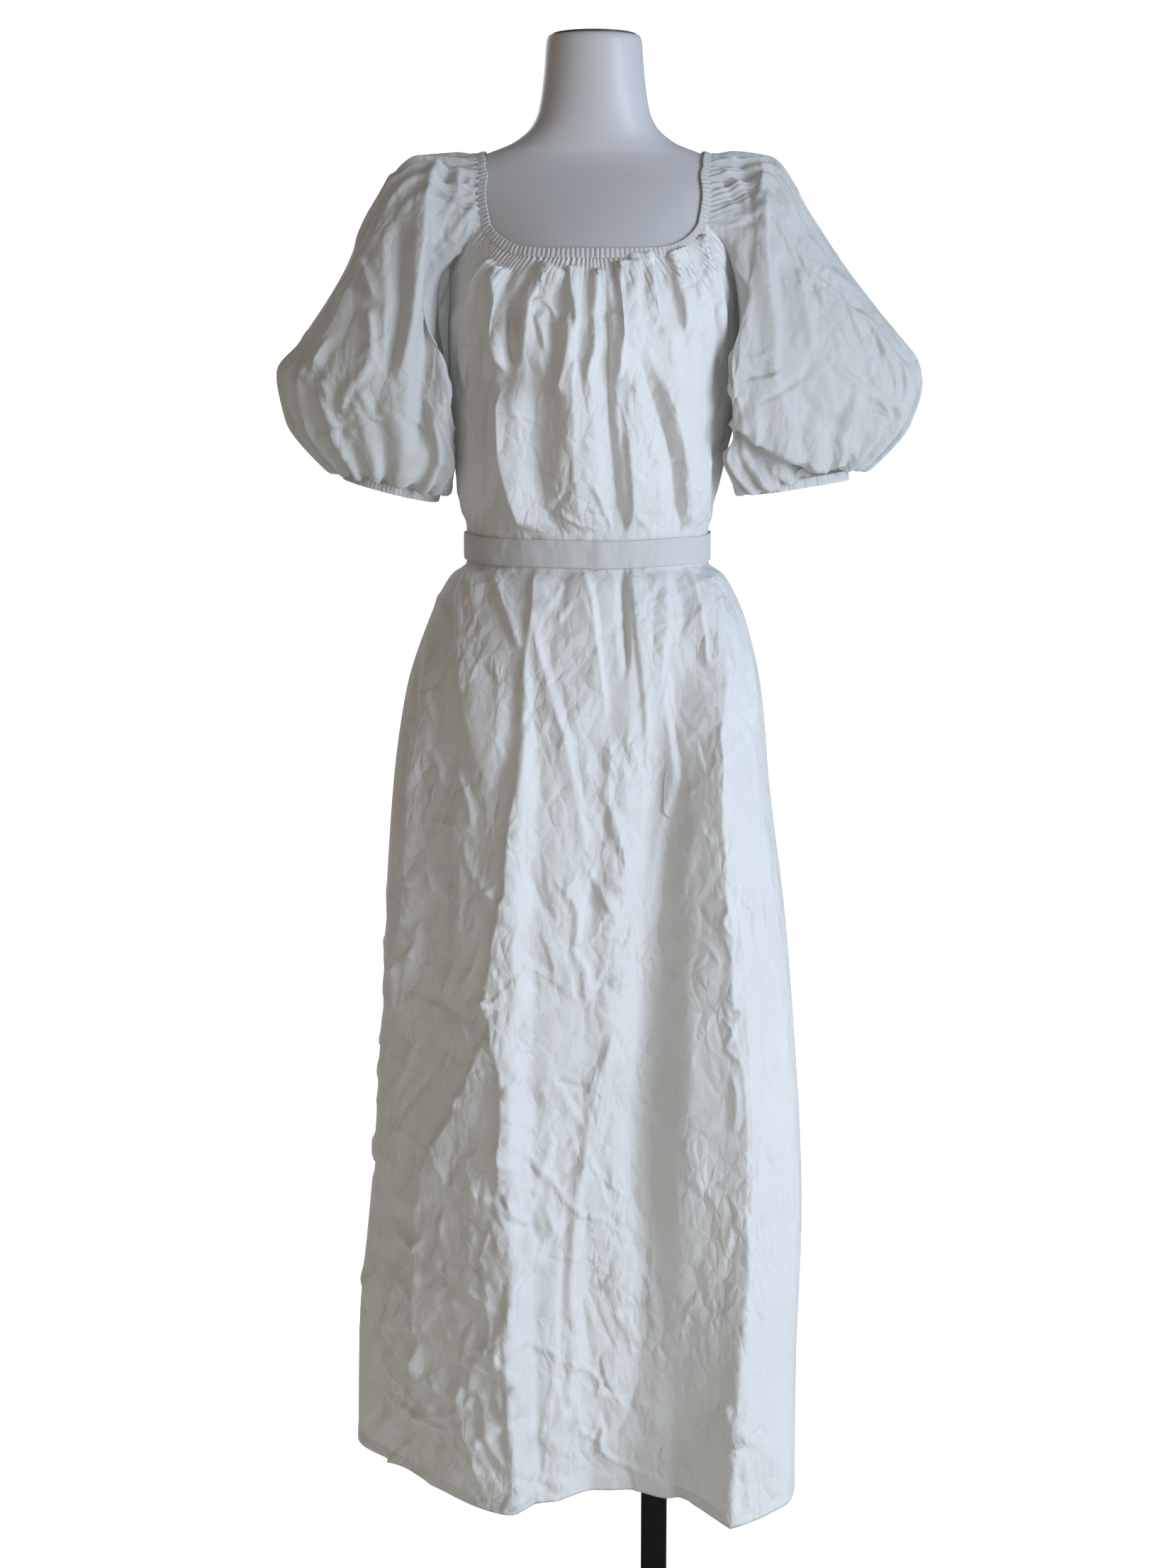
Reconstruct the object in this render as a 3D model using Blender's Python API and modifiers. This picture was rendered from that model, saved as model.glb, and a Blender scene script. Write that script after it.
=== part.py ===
# A white cotton A-line dress with balloon sleeves and a self belt, on a limbless dress form.
# Metres, +Z up, the front faces -Y. The origin is the centre of the base plate's underside.
# Left and right are the viewer's: right is +X.
import math

import bmesh
import bpy
import numpy as np

# Cloth and clearances
cloth = 0.0015
gap = 0.0004
form_ease = 0.0008
chest_ease = 0.0034

# Heights of the dress
hem_height = 0.255
underarm_height = 1.375
belt_low = 1.2165
belt_high = 1.2440
belt_middle = (belt_low + belt_high) / 2

# Neckline casing, cuffs and belt
casing_width = 0.0105
casing_thick = 0.0032
casing_ruches = 72
cuff_width = 0.0100
cuff_thick = 0.0030
belt_thick = 0.0016
knot_size = (0.034, 0.014, 0.034)
tail_size = (0.0270, 0.0022, 0.300)
tail_clear = 0.0050

# Gathers
front_gathers = 13
back_gathers = 10
gather_depth = 0.0034
cuff_gathers = 12
cuff_gather_depth = 0.0045
sleeve_head_gathers = 5
sleeve_head_depth = 0.0040

# Stand
base_radius = 0.150
base_thick = 0.010
pole_x = 0.067
pole_width = 0.028
hub_radius = 0.034
hub_height = 0.030
flange_radius = 0.045
flange_height = 0.012
neck_cap_thick = 0.002
neck_cap_radius = 0.0425
neck_centre_y = 0.0050

# Half sizes of the form and of the dress at each height: to the left, right, front and back
form_sections = (
    # height, left, right, front, back
    (0.930, 0.1500, 0.1400, 0.0800, 0.0900),
    (1.000, 0.1720, 0.1550, 0.0960, 0.1120),
    (1.080, 0.1760, 0.1580, 0.0990, 0.1160),
    (1.140, 0.1620, 0.1450, 0.0930, 0.1060),
    (1.190, 0.1370, 0.1240, 0.0860, 0.0900),
    (1.213, 0.1290, 0.1160, 0.0880, 0.0840),
    (1.248, 0.1290, 0.1160, 0.0880, 0.0840),
    (1.310, 0.1300, 0.1220, 0.0990, 0.0910),
    (1.375, 0.1390, 0.1380, 0.1180, 0.0980),
    (1.430, 0.1430, 0.1430, 0.1250, 0.1030),
    (1.480, 0.1460, 0.1450, 0.1190, 0.1040),
    (1.5175, 0.1465, 0.1465, 0.1095, 0.1010),
    (1.550, 0.1490, 0.1490, 0.0880, 0.0970),
    (1.585, 0.1540, 0.1540, 0.0600, 0.0860),
    (1.602, 0.1470, 0.1470, 0.0460, 0.0720),
    (1.613, 0.1270, 0.1270, 0.0390, 0.0610),
    (1.621, 0.1060, 0.1060, 0.0360, 0.0560),
    (1.631, 0.0810, 0.0810, 0.0360, 0.0540),
    (1.646, 0.0630, 0.0630, 0.0380, 0.0520),
    (1.662, 0.0555, 0.0555, 0.0395, 0.0510),
    (1.685, 0.0515, 0.0515, 0.0410, 0.0510),
    (1.710, 0.0490, 0.0490, 0.0410, 0.0510),
    (1.729, 0.0475, 0.0475, 0.0405, 0.0505),
    (1.7335, 0.0455, 0.0455, 0.0385, 0.0485),
)
dress_sections = (
    # height, left, right, front, back
    (hem_height, 0.2590, 0.2140, 0.1660, 0.1980),
    (0.390, 0.2550, 0.2130, 0.1640, 0.1920),
    (0.530, 0.2410, 0.2165, 0.1610, 0.1860),
    (0.680, 0.2290, 0.2105, 0.1570, 0.1780),
    (0.840, 0.2205, 0.2005, 0.1520, 0.1680),
    (0.980, 0.2100, 0.1840, 0.1460, 0.1580),
    (1.080, 0.1950, 0.1740, 0.1350, 0.1410),
    (1.150, 0.1720, 0.1580, 0.1200, 0.1180),
    (1.200, 0.1470, 0.1340, 0.1010, 0.0950),
    (1.213, 0.1308, 0.1178, 0.0898, 0.0858),
    (1.248, 0.1308, 0.1178, 0.0898, 0.0858),
    (1.290, 0.1385, 0.1280, 0.1100, 0.0990),
    (1.330, 0.1430, 0.1370, 0.1230, 0.1050),
    (1.375, 0.1460, 0.1460, 0.1320, 0.1080),
    (1.430, 0.1475, 0.1475, 0.1370, 0.1110),
    (1.480, 0.1495, 0.1495, 0.1270, 0.1090),
)
upper_heights = [row[0] for row in form_sections if row[0] > 1.50]
lower_heights = (1.330, 1.290, 1.248, 1.213, 1.200, 1.150, 1.080, 0.980, 0.820, 0.620,
                 0.430, hem_height)

# Half of the neckline, from the centre front to the centre back
neckline = (
    # angle about the form, height
    (0, 1.5175), (15, 1.5177), (28, 1.5200), (38, 1.5290), (45, 1.5480), (46, 1.5700),
    (45.5, 1.5900), (52, 1.6060), (72, 1.6160), (96, 1.6185), (120, 1.6130), (136, 1.6020),
    (147, 1.5900), (163, 1.5820), (180, 1.5800),
)
front_corner = 4
back_corner = 12

# Where the side seams run, as angles about the dress from the centre front
side_seams = (
    # height, left seam, right seam, in degrees
    (hem_height, 90, 68), (0.400, 90, 64), (0.530, 90, 59), (0.680, 90, 56), (0.840, 90, 57),
    (0.980, 90, 59), (1.080, 90, 63), (1.150, 90, 70), (1.213, 90, 82), (1.290, 90, 88),
    (1.375, 90, 90),
)
raglan_steps = (0, 0.07, 0.17, 0.34, 0.56, 0.79, 1.0)
raglan_rows = len(raglan_steps) - 1
# Share of the way from the underarm's angle back to the neck corner's, along the raglan seam
raglan_spread = ((0, 0.14, 0.28, 0.57, 0.80, 1.0), (0, 0.33, 0.56, 0.78, 0.90, 1.0))

# Skirt folds. Angles, depths and left flanks are given at the four heights of fold_heights; the
# flanks and the flat top are in degrees. A negative depth is a trough. Lean turns the way the fold
# stands out.
fold_heights = (hem_height, 0.650, 1.000, 1.190)
skirt_folds = (
    # angles, depths in mm, left flanks, right flank, flat top, lean
    ((-20, -23, -22, -27), (32, 24, 14, 0), (26, 26, 26, 26), 6, 2, -8),
    ((0, 0, 0, 2), (-26, -18, -8, 0), (10, 10, 10, 10), 12, 14, 0),
    ((10, 12, 15, 16), (2, 7, 7, 0), (7, 7, 7, 7), 7, 2, 10),
    ((32, 39, 41, 52), (82, 44, 17, 0), (9, 27, 30, 28), 32, 22, 15),
    ((-64, -62, -60, -60), (-14, -9, -4, 0), (20, 20, 20, 20), 20, 6, -60),
    ((116, 114, 112, 112), (16, 12, 6, 0), (12, 12, 12, 12), 12, 2, 116),
    ((150, 151, 152, 154), (34, 22, 10, 0), (12, 12, 12, 12), 15, 3, 155),
    ((178, 180, 181, 180), (24, 20, 12, 0), (9, 9, 9, 9), 11, 2, 180),
    ((203, 206, 205, 204), (38, 24, 11, 0), (13, 13, 13, 13), 9, 4, 202),
    ((236, 234, 232, 230), (30, 18, 8, 0), (12, 12, 12, 12), 13, 3, 232),
)

# Balloon sleeves: each row is a ring through an inner point under the arm and an outer point
right_sleeve_rings = (
    # share along the sleeve, inner x and z, outer x and z, depth to the front and to the back
    (0.14, 0.1580, 1.3730, 0.1730, 1.6160, 0.0860, 0.0840),
    (0.30, 0.1600, 1.3700, 0.2180, 1.5600, 0.0970, 0.0900),
    (0.46, 0.1570, 1.3610, 0.2570, 1.5060, 0.1020, 0.0950),
    (0.62, 0.1500, 1.3510, 0.3050, 1.4450, 0.1010, 0.0960),
    (0.75, 0.1440, 1.3340, 0.3330, 1.3980, 0.0950, 0.0920),
    (0.86, 0.1400, 1.3150, 0.3220, 1.3580, 0.0810, 0.0820),
    (0.94, 0.1440, 1.2950, 0.2870, 1.3260, 0.0670, 0.0700),
    (1.00, 0.1560, 1.2850, 0.2590, 1.3070, 0.0520, 0.0560),
)
left_sleeve_rings = (
    # the same columns, with x counted to the left
    (0.14, 0.1580, 1.3730, 0.1730, 1.6160, 0.0860, 0.0840),
    (0.30, 0.1600, 1.3690, 0.2250, 1.5580, 0.0990, 0.0900),
    (0.46, 0.1570, 1.3590, 0.2530, 1.5020, 0.1040, 0.0950),
    (0.62, 0.1520, 1.3470, 0.2950, 1.4390, 0.1030, 0.0960),
    (0.75, 0.1480, 1.3310, 0.3190, 1.4050, 0.0970, 0.0920),
    (0.86, 0.1460, 1.3110, 0.3110, 1.3600, 0.0820, 0.0820),
    (0.94, 0.1480, 1.2940, 0.2740, 1.3230, 0.0670, 0.0700),
    (1.00, 0.1580, 1.2860, 0.2540, 1.3060, 0.0520, 0.0560),
)
# How boxy the balloon's rings are, how far their front wraps over the bodice's side, and how much
# the fullest part of the front lies towards the body: 1 is the middle
sleeve_boxiness = 0.86
sleeve_hug = 0.065
sleeve_lean = 1.5
sleeve_rows = (0, 0.07, 0.16, 0.30, 0.47, 0.64, 0.80, 0.92, 1.0)
head_segments = 20

# In-seam pockets, pressed flat behind the front panel
pocket_rows = (1.150, 1.080, 0.980, 0.935)
pocket_free = 0.960
pocket_reach = 34
pocket_thick = 0.0020
pocket_drop = 0.0100
mouth_low = 1.055
mouth_high = 1.140
mouth_gape = 0.0050

materials = {
    # name: colour, roughness, metallic
    "cotton": ((0.86, 0.87, 0.88), 0.85, 0.0),
    "form_gloss": ((0.62, 0.63, 0.67), 0.22, 0.0),
    "cap_dark": ((0.16, 0.15, 0.16), 0.45, 0.0),
    "stand_black": ((0.02, 0.02, 0.02), 0.45, 0.6),
}


# Slopes at the knots that keep a curve from overshooting: level at each peak, dip and plateau
def knot_slopes(knots, values):
    runs = np.diff(knots).reshape((-1,) + (1,) * (values.ndim - 1))
    rises = np.diff(values, axis=0) / runs
    before, after = rises[:-1], rises[1:]
    same_way = before * after > 0
    total = np.where(same_way, before + after, 1)
    middle = np.where(same_way, 2 * before * after / total, 0)
    return np.concatenate([rises[:1], middle, rises[-1:]])


# Cubic interpolation through the knots
def smooth_between(knots, values, at):
    knots = np.asarray(knots, dtype=float)
    values = np.asarray(values, dtype=float)
    slopes = knot_slopes(knots, values)
    at = np.clip(at, knots[0], knots[-1])
    cell = np.clip(np.searchsorted(knots, at) - 1, 0, len(knots) - 2)
    width = knots[cell + 1] - knots[cell]
    t = (at - knots[cell]) / width
    if values.ndim > 1:
        shape = t.shape + (1,) * (values.ndim - 1)
        t = t.reshape(shape)
        width = width.reshape(shape)
    low, high = values[cell], values[cell + 1]
    low_slope, high_slope = slopes[cell] * width, slopes[cell + 1] * width
    return (low * (2 * t**3 - 3 * t**2 + 1) + low_slope * (t**3 - 2 * t**2 + t)
            + high * (3 * t**2 - 2 * t**3) + high_slope * (t**3 - t**2))


def smooth_step(value):
    t = np.clip(value, 0, 1)
    return t * t * (3 - 2 * t)


def unit(vectors):
    return vectors / np.linalg.norm(vectors, axis=-1, keepdims=True)


# The dress follows the form above its last own section, one wall and one clearance out
def upper_dress_sections():
    out = chest_ease
    rows = [row for row in form_sections if row[0] in upper_heights]
    return tuple((h, left + out, right + out, front + out, back + out)
                 for h, left, right, front, back in rows)


# Point of a section at an angle from the centre front, which is -Y: a quarter ellipse each way
def on_section(sections, angle, height):
    table = np.array(sections)
    sizes = smooth_between(table[:, 0], table[:, 1:], np.asarray(height, dtype=float))
    left, right, front, back = np.moveaxis(sizes, -1, 0)
    sine, cosine = np.sin(angle), np.cos(angle)
    x = np.where(sine < 0, left, right) * sine
    y = -np.where(cosine > 0, front, back) * cosine
    return np.stack([x, y, np.broadcast_to(height, x.shape)], axis=-1)


# Outward normal of a section surface, from small steps along the angle and the height
def section_normal(sections, angle, height):
    step = 0.002
    across = on_section(sections, angle + step, height) - on_section(sections, angle - step, height)
    up = on_section(sections, angle, height + step) - on_section(sections, angle, height - step)
    return unit(np.cross(across, up))


# The angle about the dress of a point that lies on it
def section_angle(sections, points):
    table = np.array(sections)
    left, right, front, back = smooth_between(table[:, 0], table[:, 1:], points[..., 2]).T
    x = points[..., 0] / np.where(points[..., 0] < 0, left, right)
    y = -points[..., 1] / np.where(points[..., 1] < 0, front, back)
    return np.arctan2(x, y)


full_dress = dress_sections + upper_dress_sections()


# The neckline at stations counted in knots round the loop, from the centre front to the right
class Neckline:
    def __init__(self):
        half = [(math.radians(a), h) for a, h in neckline]
        loop = np.array(half + [(2 * math.pi - a, h) for a, h in half[-2:0:-1]])
        self.last = len(loop)
        turns = [loop + (2 * math.pi * turn, 0) for turn in (-1, 0, 1)]
        self.values = np.concatenate(turns + [loop[:1] + (4 * math.pi, 0)])
        self.knots = np.arange(len(self.values)) - self.last

    # Middle of the casing, the way along it, the way out of the form, and the way down the form
    def frame(self, station):
        def middle(at):
            angle, height = smooth_between(self.knots, self.values, at).T
            return on_section(form_sections, angle, height), angle, height
        point, angle, height = middle(station)
        step = 0.01
        along = unit(middle(station + step)[0] - middle(station - step)[0])
        out = section_normal(form_sections, angle, height)
        down = unit(np.cross(along, out))
        return point + out * (form_ease + casing_thick / 2), along, out, down

    # Stations spaced evenly by length between two stations
    def even(self, first, last, count):
        fine = np.linspace(first, last, 400)
        points = self.frame(fine)[0]
        length = np.concatenate([[0], np.cumsum(np.linalg.norm(np.diff(points, axis=0), axis=1))])
        return np.interp(np.linspace(0, length[-1], count + 1), length, fine)


neck = Neckline()


# A fold's outline across the angle: a flat top that falls away over each flank
def fold_outline(offset, left_flank, right_flank, flat):
    left = smooth_step((offset + left_flank) / left_flank)
    right = smooth_step((flat + right_flank - offset) / right_flank)
    return left * right


# How far the skirt's folds move the points of the dress
def fold_move(angle, height):
    move = np.zeros(angle.shape + (3,))
    spread = np.interp(height, fold_heights, (1, 0.85, 0.6, 0.4))
    for angles, depths, left_flanks, right_flank, flat, lean in skirt_folds:
        crest = np.interp(height, fold_heights, angles)
        depth = np.interp(height, fold_heights, depths) * 0.001
        left_flank = np.interp(height, fold_heights, left_flanks)
        offset = (np.degrees(angle) - crest + 180) % 360 - 180
        outline = fold_outline(offset, left_flank, right_flank, flat * spread)
        way = np.array([math.sin(math.radians(lean)), -math.cos(math.radians(lean)), 0])
        move += (depth * outline)[..., None] * way
    return move


# Angle of each side seam at a height, in radians
def seam_angle(side, height):
    table = np.array(side_seams)
    column = 1 if side == "left" else 2
    return np.radians(smooth_between(table[:, 0], table[:, column], height))


# A body panel as a grid of rows from the neckline to the hem, with its top edge below the casing
def panel_grid(panel):
    if panel == "front":
        gathers, first, last = front_gathers, -front_corner, front_corner
    else:
        gathers, first, last = back_gathers, back_corner, neck.last - back_corner
    columns = 4 * gathers
    stations = neck.even(first, last, columns)
    middle, along, out, down = neck.frame(stations)
    top = middle + down * (casing_width / 2 + gap) - out * (casing_thick / 2 - gap - cloth / 2)
    across = np.linspace(-1, 1, columns + 1)
    top_angle = section_angle(full_dress, top)
    if panel == "back":
        top_angle = np.where(top_angle < 0, top_angle + 2 * math.pi, top_angle)

    def angle_at(height, across):
        clear = gap / 2 / 0.18
        left, right = seam_angle("left", height) - clear, seam_angle("right", height) - clear
        if panel == "front":
            return np.where(across < 0, left * across, right * across)
        right, left = right + 2 * clear, 2 * math.pi - left - 2 * clear
        half = np.where(across < 0, math.pi - right, left - math.pi)
        return math.pi + across * half

    rows = []
    for t in raglan_steps:
        height = top[:, 2] + (underarm_height - top[:, 2]) * t
        spread = np.interp(t, *raglan_spread)
        under = angle_at(underarm_height, across)
        angle = top_angle + (under - top_angle) * spread
        fit = top - on_section(full_dress, top_angle, top[:, 2])
        point = on_section(full_dress, angle, height) + fit * (1 - t) ** 5
        rows.append((angle, height, point))
    for level in lower_heights:
        height = np.full(columns + 1, level)
        angle = angle_at(level, across)
        rows.append((angle, height, on_section(full_dress, angle, height)))
    angle, height, points = (np.array(item) for item in zip(*rows))

    # Gathers hang from the casing and fade towards the waist and the seams
    drop = np.array(raglan_steps + tuple(1 + 0.25 * n for n in range(1, 1 + len(lower_heights))))[:, None]
    fade = smooth_step(drop / 0.25) * (1 - smooth_step((drop - 0.3) / 1.3))
    wave = 0.5 - 0.5 * np.cos(2 * math.pi * gathers * (across + 1) / 2)
    sides = 1 - np.abs(across) ** 6
    normal = section_normal(full_dress, angle, height)
    points = points + normal * (gather_depth * fade * wave * sides)[..., None]
    points = points + fold_move(angle, height)

    # The right side seam stands open at the pocket mouth
    if panel == "front":
        gape = smooth_step((height - mouth_low) / 0.02) * smooth_step((mouth_high - height) / 0.02)
        edge = smooth_step((across - 0.86) / 0.14)
        points = points + normal * (mouth_gape * gape * edge)[..., None]
    return points, angle, height


# Mesh of a grid of points, closed round the columns if asked
def grid_mesh(name, points, closed=False):
    rows, columns = points.shape[:2]
    mesh = bpy.data.meshes.new(name)
    faces = []
    spans = columns if closed else columns - 1
    for r in range(rows - 1):
        for c in range(spans):
            n = (c + 1) % columns
            faces.append((r * columns + c, (r + 1) * columns + c,
                          (r + 1) * columns + n, r * columns + n))
    mesh.from_pydata(points.reshape(-1, 3).tolist(), [], faces)
    mesh.update()
    return mesh


def add_object(name, mesh, material):
    piece = bpy.data.objects.new(name, mesh)
    collection.objects.link(piece)
    mesh.materials.append(bpy.data.materials[material])
    mesh.shade_smooth()
    return piece


# A sheet of cloth: an open grid given its wall by Solidify, half to each side
def add_cloth(name, points, thickness, closed=False):
    piece = add_object(name, grid_mesh(name, points, closed), "cotton")
    wall = piece.modifiers.new("wall", "SOLIDIFY")
    wall.thickness = thickness
    wall.offset = 0
    wall.use_even_offset = True
    return piece


# A closed ring whose cross-section points are given at every station: stations by corners
def add_ring(name, points, material):
    loops = np.concatenate([points, points[:, :1]], axis=1)
    mesh = grid_mesh(name, np.concatenate([loops, loops[:1]], axis=0))
    builder = bmesh.new()
    builder.from_mesh(mesh)
    bmesh.ops.remove_doubles(builder, verts=builder.verts, dist=1e-6)
    bmesh.ops.recalc_face_normals(builder, faces=builder.faces)
    builder.to_mesh(mesh)
    builder.free()
    piece = add_object(name, mesh, material)
    mesh.set_sharp_from_angle(angle=math.radians(50))
    return piece


# The elastic casing: a flat ring on the form with raised ruches on its outer side
def add_casing():
    count = casing_ruches * 2
    stations = neck.even(0, neck.last, count)[:-1]
    middle, along, out, down = neck.frame(stations)
    raised = np.where(np.arange(count) % 2 == 0, casing_thick / 2, casing_thick / 2 - 0.0012)
    half = casing_width / 2
    inside = -casing_thick / 2
    corners = [(-half, inside), (half, inside), (half * 0.92, None), (-half * 0.92, None)]
    ring = [middle + down * across + out * (raised if lift is None else np.full(count, lift))[:, None]
            for across, lift in corners]
    return add_ring("neck_casing", np.stack(ring, axis=1), "cotton")


# The seam loop where a sleeve meets the body: over the shoulder beside the casing, then down
# the front panel's edge to the underarm and up the back panel's edge
def sleeve_loop(side, front, back):
    sign = 1 if side == "right" else -1
    front_edge = -1 if side == "right" else 0
    back_edge = 0 if side == "right" else -1
    clear_side, clear_out = 0.0007, 0.0018

    def edge_points(panel, column):
        points, angle, height = panel
        inward = -2 if column == -1 else 1
        rows = slice(0, raglan_rows + 1)
        edge = points[rows, column]
        away = unit(edge - points[rows, inward])
        normal = section_normal(full_dress, angle[rows, column], height[rows, column])
        return edge + away * clear_side + normal * clear_out

    front_side = edge_points(front, front_edge)
    back_side = edge_points(back, back_edge)
    under = (front_side[-1] + back_side[-1]) / 2
    front_side[-1] = back_side[-1] = under
    if side == "right":
        stations = neck.even(front_corner, back_corner, head_segments)
    else:
        stations = neck.even(-front_corner, -back_corner, head_segments)
    middle, along, out, down = neck.frame(stations)
    head = middle + down * (casing_width / 2 + gap + cloth / 2) - out * (casing_thick / 2 - cloth)
    head[0], head[-1] = front_side[0], back_side[0]
    half_steps = np.arange(1, 2 * raglan_rows) / 2
    down_front = smooth_rows(front_side, half_steps)
    up_back = smooth_rows(back_side, half_steps)[::-1]
    loop = np.concatenate([head[::-1], down_front, [under], up_back])
    return loop, sign


# Points at whole and half rows: the half rows lie on the straight edge between their neighbours
def smooth_rows(points, at):
    low = np.floor(at).astype(int)
    share = (at - low)[:, None]
    high = np.minimum(low + 1, len(points) - 1)
    return points[low] * (1 - share) + points[high] * share


# A balloon sleeve from its seam loop to the cuff, gathered at the shoulder and at the cuff
def sleeve_grid(side, rings, front, back):
    loop, sign = sleeve_loop(side, front, back)
    seam_segments = 2 * raglan_rows
    head_turn = math.radians(58)
    head = np.linspace(-head_turn, head_turn, head_segments + 1)
    fall = np.linspace(head_turn, 2 * math.pi - head_turn, 2 * seam_segments + 1)[1:-1]
    turn = np.concatenate([head, fall])
    sections = [loop]
    for along, inner_x, inner_z, outer_x, outer_z, front_depth, back_depth in rings:
        middle = np.array([(inner_x + outer_x) / 2 * sign, 0, (inner_z + outer_z) / 2])
        reach = np.array([(outer_x - inner_x) / 2 * sign, 0, (outer_z - inner_z) / 2])
        sine, cosine = np.sin(turn), np.cos(turn)
        section = middle + (np.sign(cosine) * np.abs(cosine) ** sleeve_boxiness)[:, None] * reach
        hug = sleeve_hug * smooth_step(along / 0.5) * smooth_step((1 - along) / 0.14)
        hug = hug * np.clip(sine, 0, 1) ** 2 * (1 - cosine) / 2
        section[:, 0] -= sign * hug
        depth = np.where(sine > 0, front_depth, back_depth)
        leaned = np.sin(math.pi * (np.clip(turn, 0, math.pi) / math.pi) ** sleeve_lean)
        swell = np.where(sine > 0, leaned, sine)
        section[:, 1] = -np.sign(swell) * np.abs(swell) ** sleeve_boxiness * depth
        sections.append(section)
    stations = [0] + [row[0] for row in rings]
    points = smooth_between(stations, np.array(sections), np.array(sleeve_rows))
    points[0] = loop

    # Gathers push the wall outward from the middle of its ring
    middle = points.mean(axis=1, keepdims=True)
    outward = unit(points - middle)
    rows = np.array(sleeve_rows)[:, None]
    waves = cuff_gathers * turn / (2 * math.pi)
    at_cuff = smooth_step((rows - 0.66) / 0.2) * (1 - 0.75 * smooth_step((rows - 0.92) / 0.08))
    at_head = smooth_step(rows / 0.07) * (1 - smooth_step((rows - 0.16) / 0.3))
    over_head = np.clip(1 - (np.abs(np.where(turn > math.pi, turn - 2 * math.pi, turn))
                             / head_turn) ** 4, 0, 1)
    head_wave = np.cos(math.pi * sleeve_head_gathers * turn / head_turn)
    beside_body = 1 - 0.9 * smooth_step((-np.cos(turn) - 0.5) / 0.4)
    push = (cuff_gather_depth * at_cuff * beside_body * np.cos(2 * math.pi * waves)
            + sleeve_head_depth * at_head * over_head * head_wave)
    return points + outward * push[..., None]


# The elastic sleeve hem: a ring just below the sleeve's last row
def add_cuff(name, sleeve):
    last = sleeve[-1]
    middle = last.mean(axis=0)
    across = last - middle
    down = unit(np.cross(across[0], across[len(across) // 4]))
    down = down if down[2] < 0 else -down
    outward = unit(across - (across @ down)[:, None] * down)
    level = middle + outward * np.linalg.norm(across, axis=1)[:, None]
    top = cloth / 2 + gap
    raised = np.where(np.arange(len(last)) % 2 == 0, cuff_thick / 2, cuff_thick / 2 - 0.001)[:, None]
    ring = [level + down * top - outward * cuff_thick / 2,
            level + down * top + outward * raised,
            level + down * (top + cuff_width) + outward * raised,
            level + down * (top + cuff_width) - outward * cuff_thick / 2]
    return add_ring(name, np.stack(ring, axis=1), "cotton")


# The belt: a band on the dress at the waist, with a vertex at each column of the panels
def add_belt(front, back):
    above = [height for height in lower_heights if height > belt_middle]
    row = raglan_rows + len(above)
    around = np.concatenate([front[1][row], back[1][row]])
    level = np.full(around.shape, belt_middle)
    ring = []
    for height, out in ((belt_low, 0), (belt_low, belt_thick), (belt_high, belt_thick), (belt_high, 0)):
        base = on_section(full_dress, around, level)
        normal = section_normal(full_dress, around, level)
        point = base + normal * (cloth / 2 + gap + out)
        point[:, 2] = height
        ring.append(point)
    return add_ring("belt", np.stack(ring, axis=1), "cotton")


def add_box(name, size, place, material, bevel):
    builder = bmesh.new()
    bmesh.ops.create_cube(builder, size=1)
    bmesh.ops.scale(builder, verts=builder.verts, vec=size)
    mesh = bpy.data.meshes.new(name)
    builder.to_mesh(mesh)
    builder.free()
    piece = add_object(name, mesh, material)
    piece.location = place
    edge = piece.modifiers.new("rounded", "BEVEL")
    edge.width = bevel
    edge.segments = 2
    mesh.set_sharp_from_angle(angle=math.radians(40))
    return piece


def add_cylinder(name, radius, low, high, material, place=(0, 0), segments=40, bevel=0.0):
    builder = bmesh.new()
    bmesh.ops.create_cone(builder, cap_ends=True, segments=segments, radius1=radius,
                          radius2=radius, depth=high - low)
    mesh = bpy.data.meshes.new(name)
    builder.to_mesh(mesh)
    builder.free()
    piece = add_object(name, mesh, material)
    piece.location = (place[0], place[1], (low + high) / 2)
    if bevel:
        edge = piece.modifiers.new("rounded", "BEVEL")
        edge.width = bevel
        edge.segments = 1
        edge.limit_method = "ANGLE"
        edge.angle_limit = math.radians(60)
    mesh.set_sharp_from_angle(angle=math.radians(40))
    return piece


# The belt is tied at the back: a knot and two hanging ends
def add_tie():
    back_y = on_section(full_dress, np.array([math.pi]), np.array([belt_middle]))[0, 1]
    face = back_y + cloth / 2 + gap + belt_thick + gap
    table = np.array(full_dress)
    add_box("belt_knot", knot_size, (0, face + knot_size[1] / 2, belt_middle), "cotton", 0.005)
    rows = np.linspace(0, 1, 9)[:, None]
    cross = np.linspace(-0.5, 0.5, 3)[None, :]
    top = belt_middle - knot_size[2] / 2 - gap
    for side, spread in (("left", -0.032), ("right", 0.026)):
        start = math.copysign(knot_size[0] / 4, spread)
        width = tail_size[0] * (0.5 + 0.5 * smooth_step(rows / 0.35))
        x = start + spread * rows + cross * width
        z = top - rows * tail_size[2] + 0 * cross
        half = smooth_between(table[:, 0], table[:, 1 if side == "left" else 2], z)
        angle = math.pi - np.arcsin(x / half)
        point = on_section(full_dress, angle, z) + fold_move(angle, z)
        point = point + section_normal(full_dress, angle, z) * tail_clear
        add_cloth("belt_end_" + side, point, tail_size[1])


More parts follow.
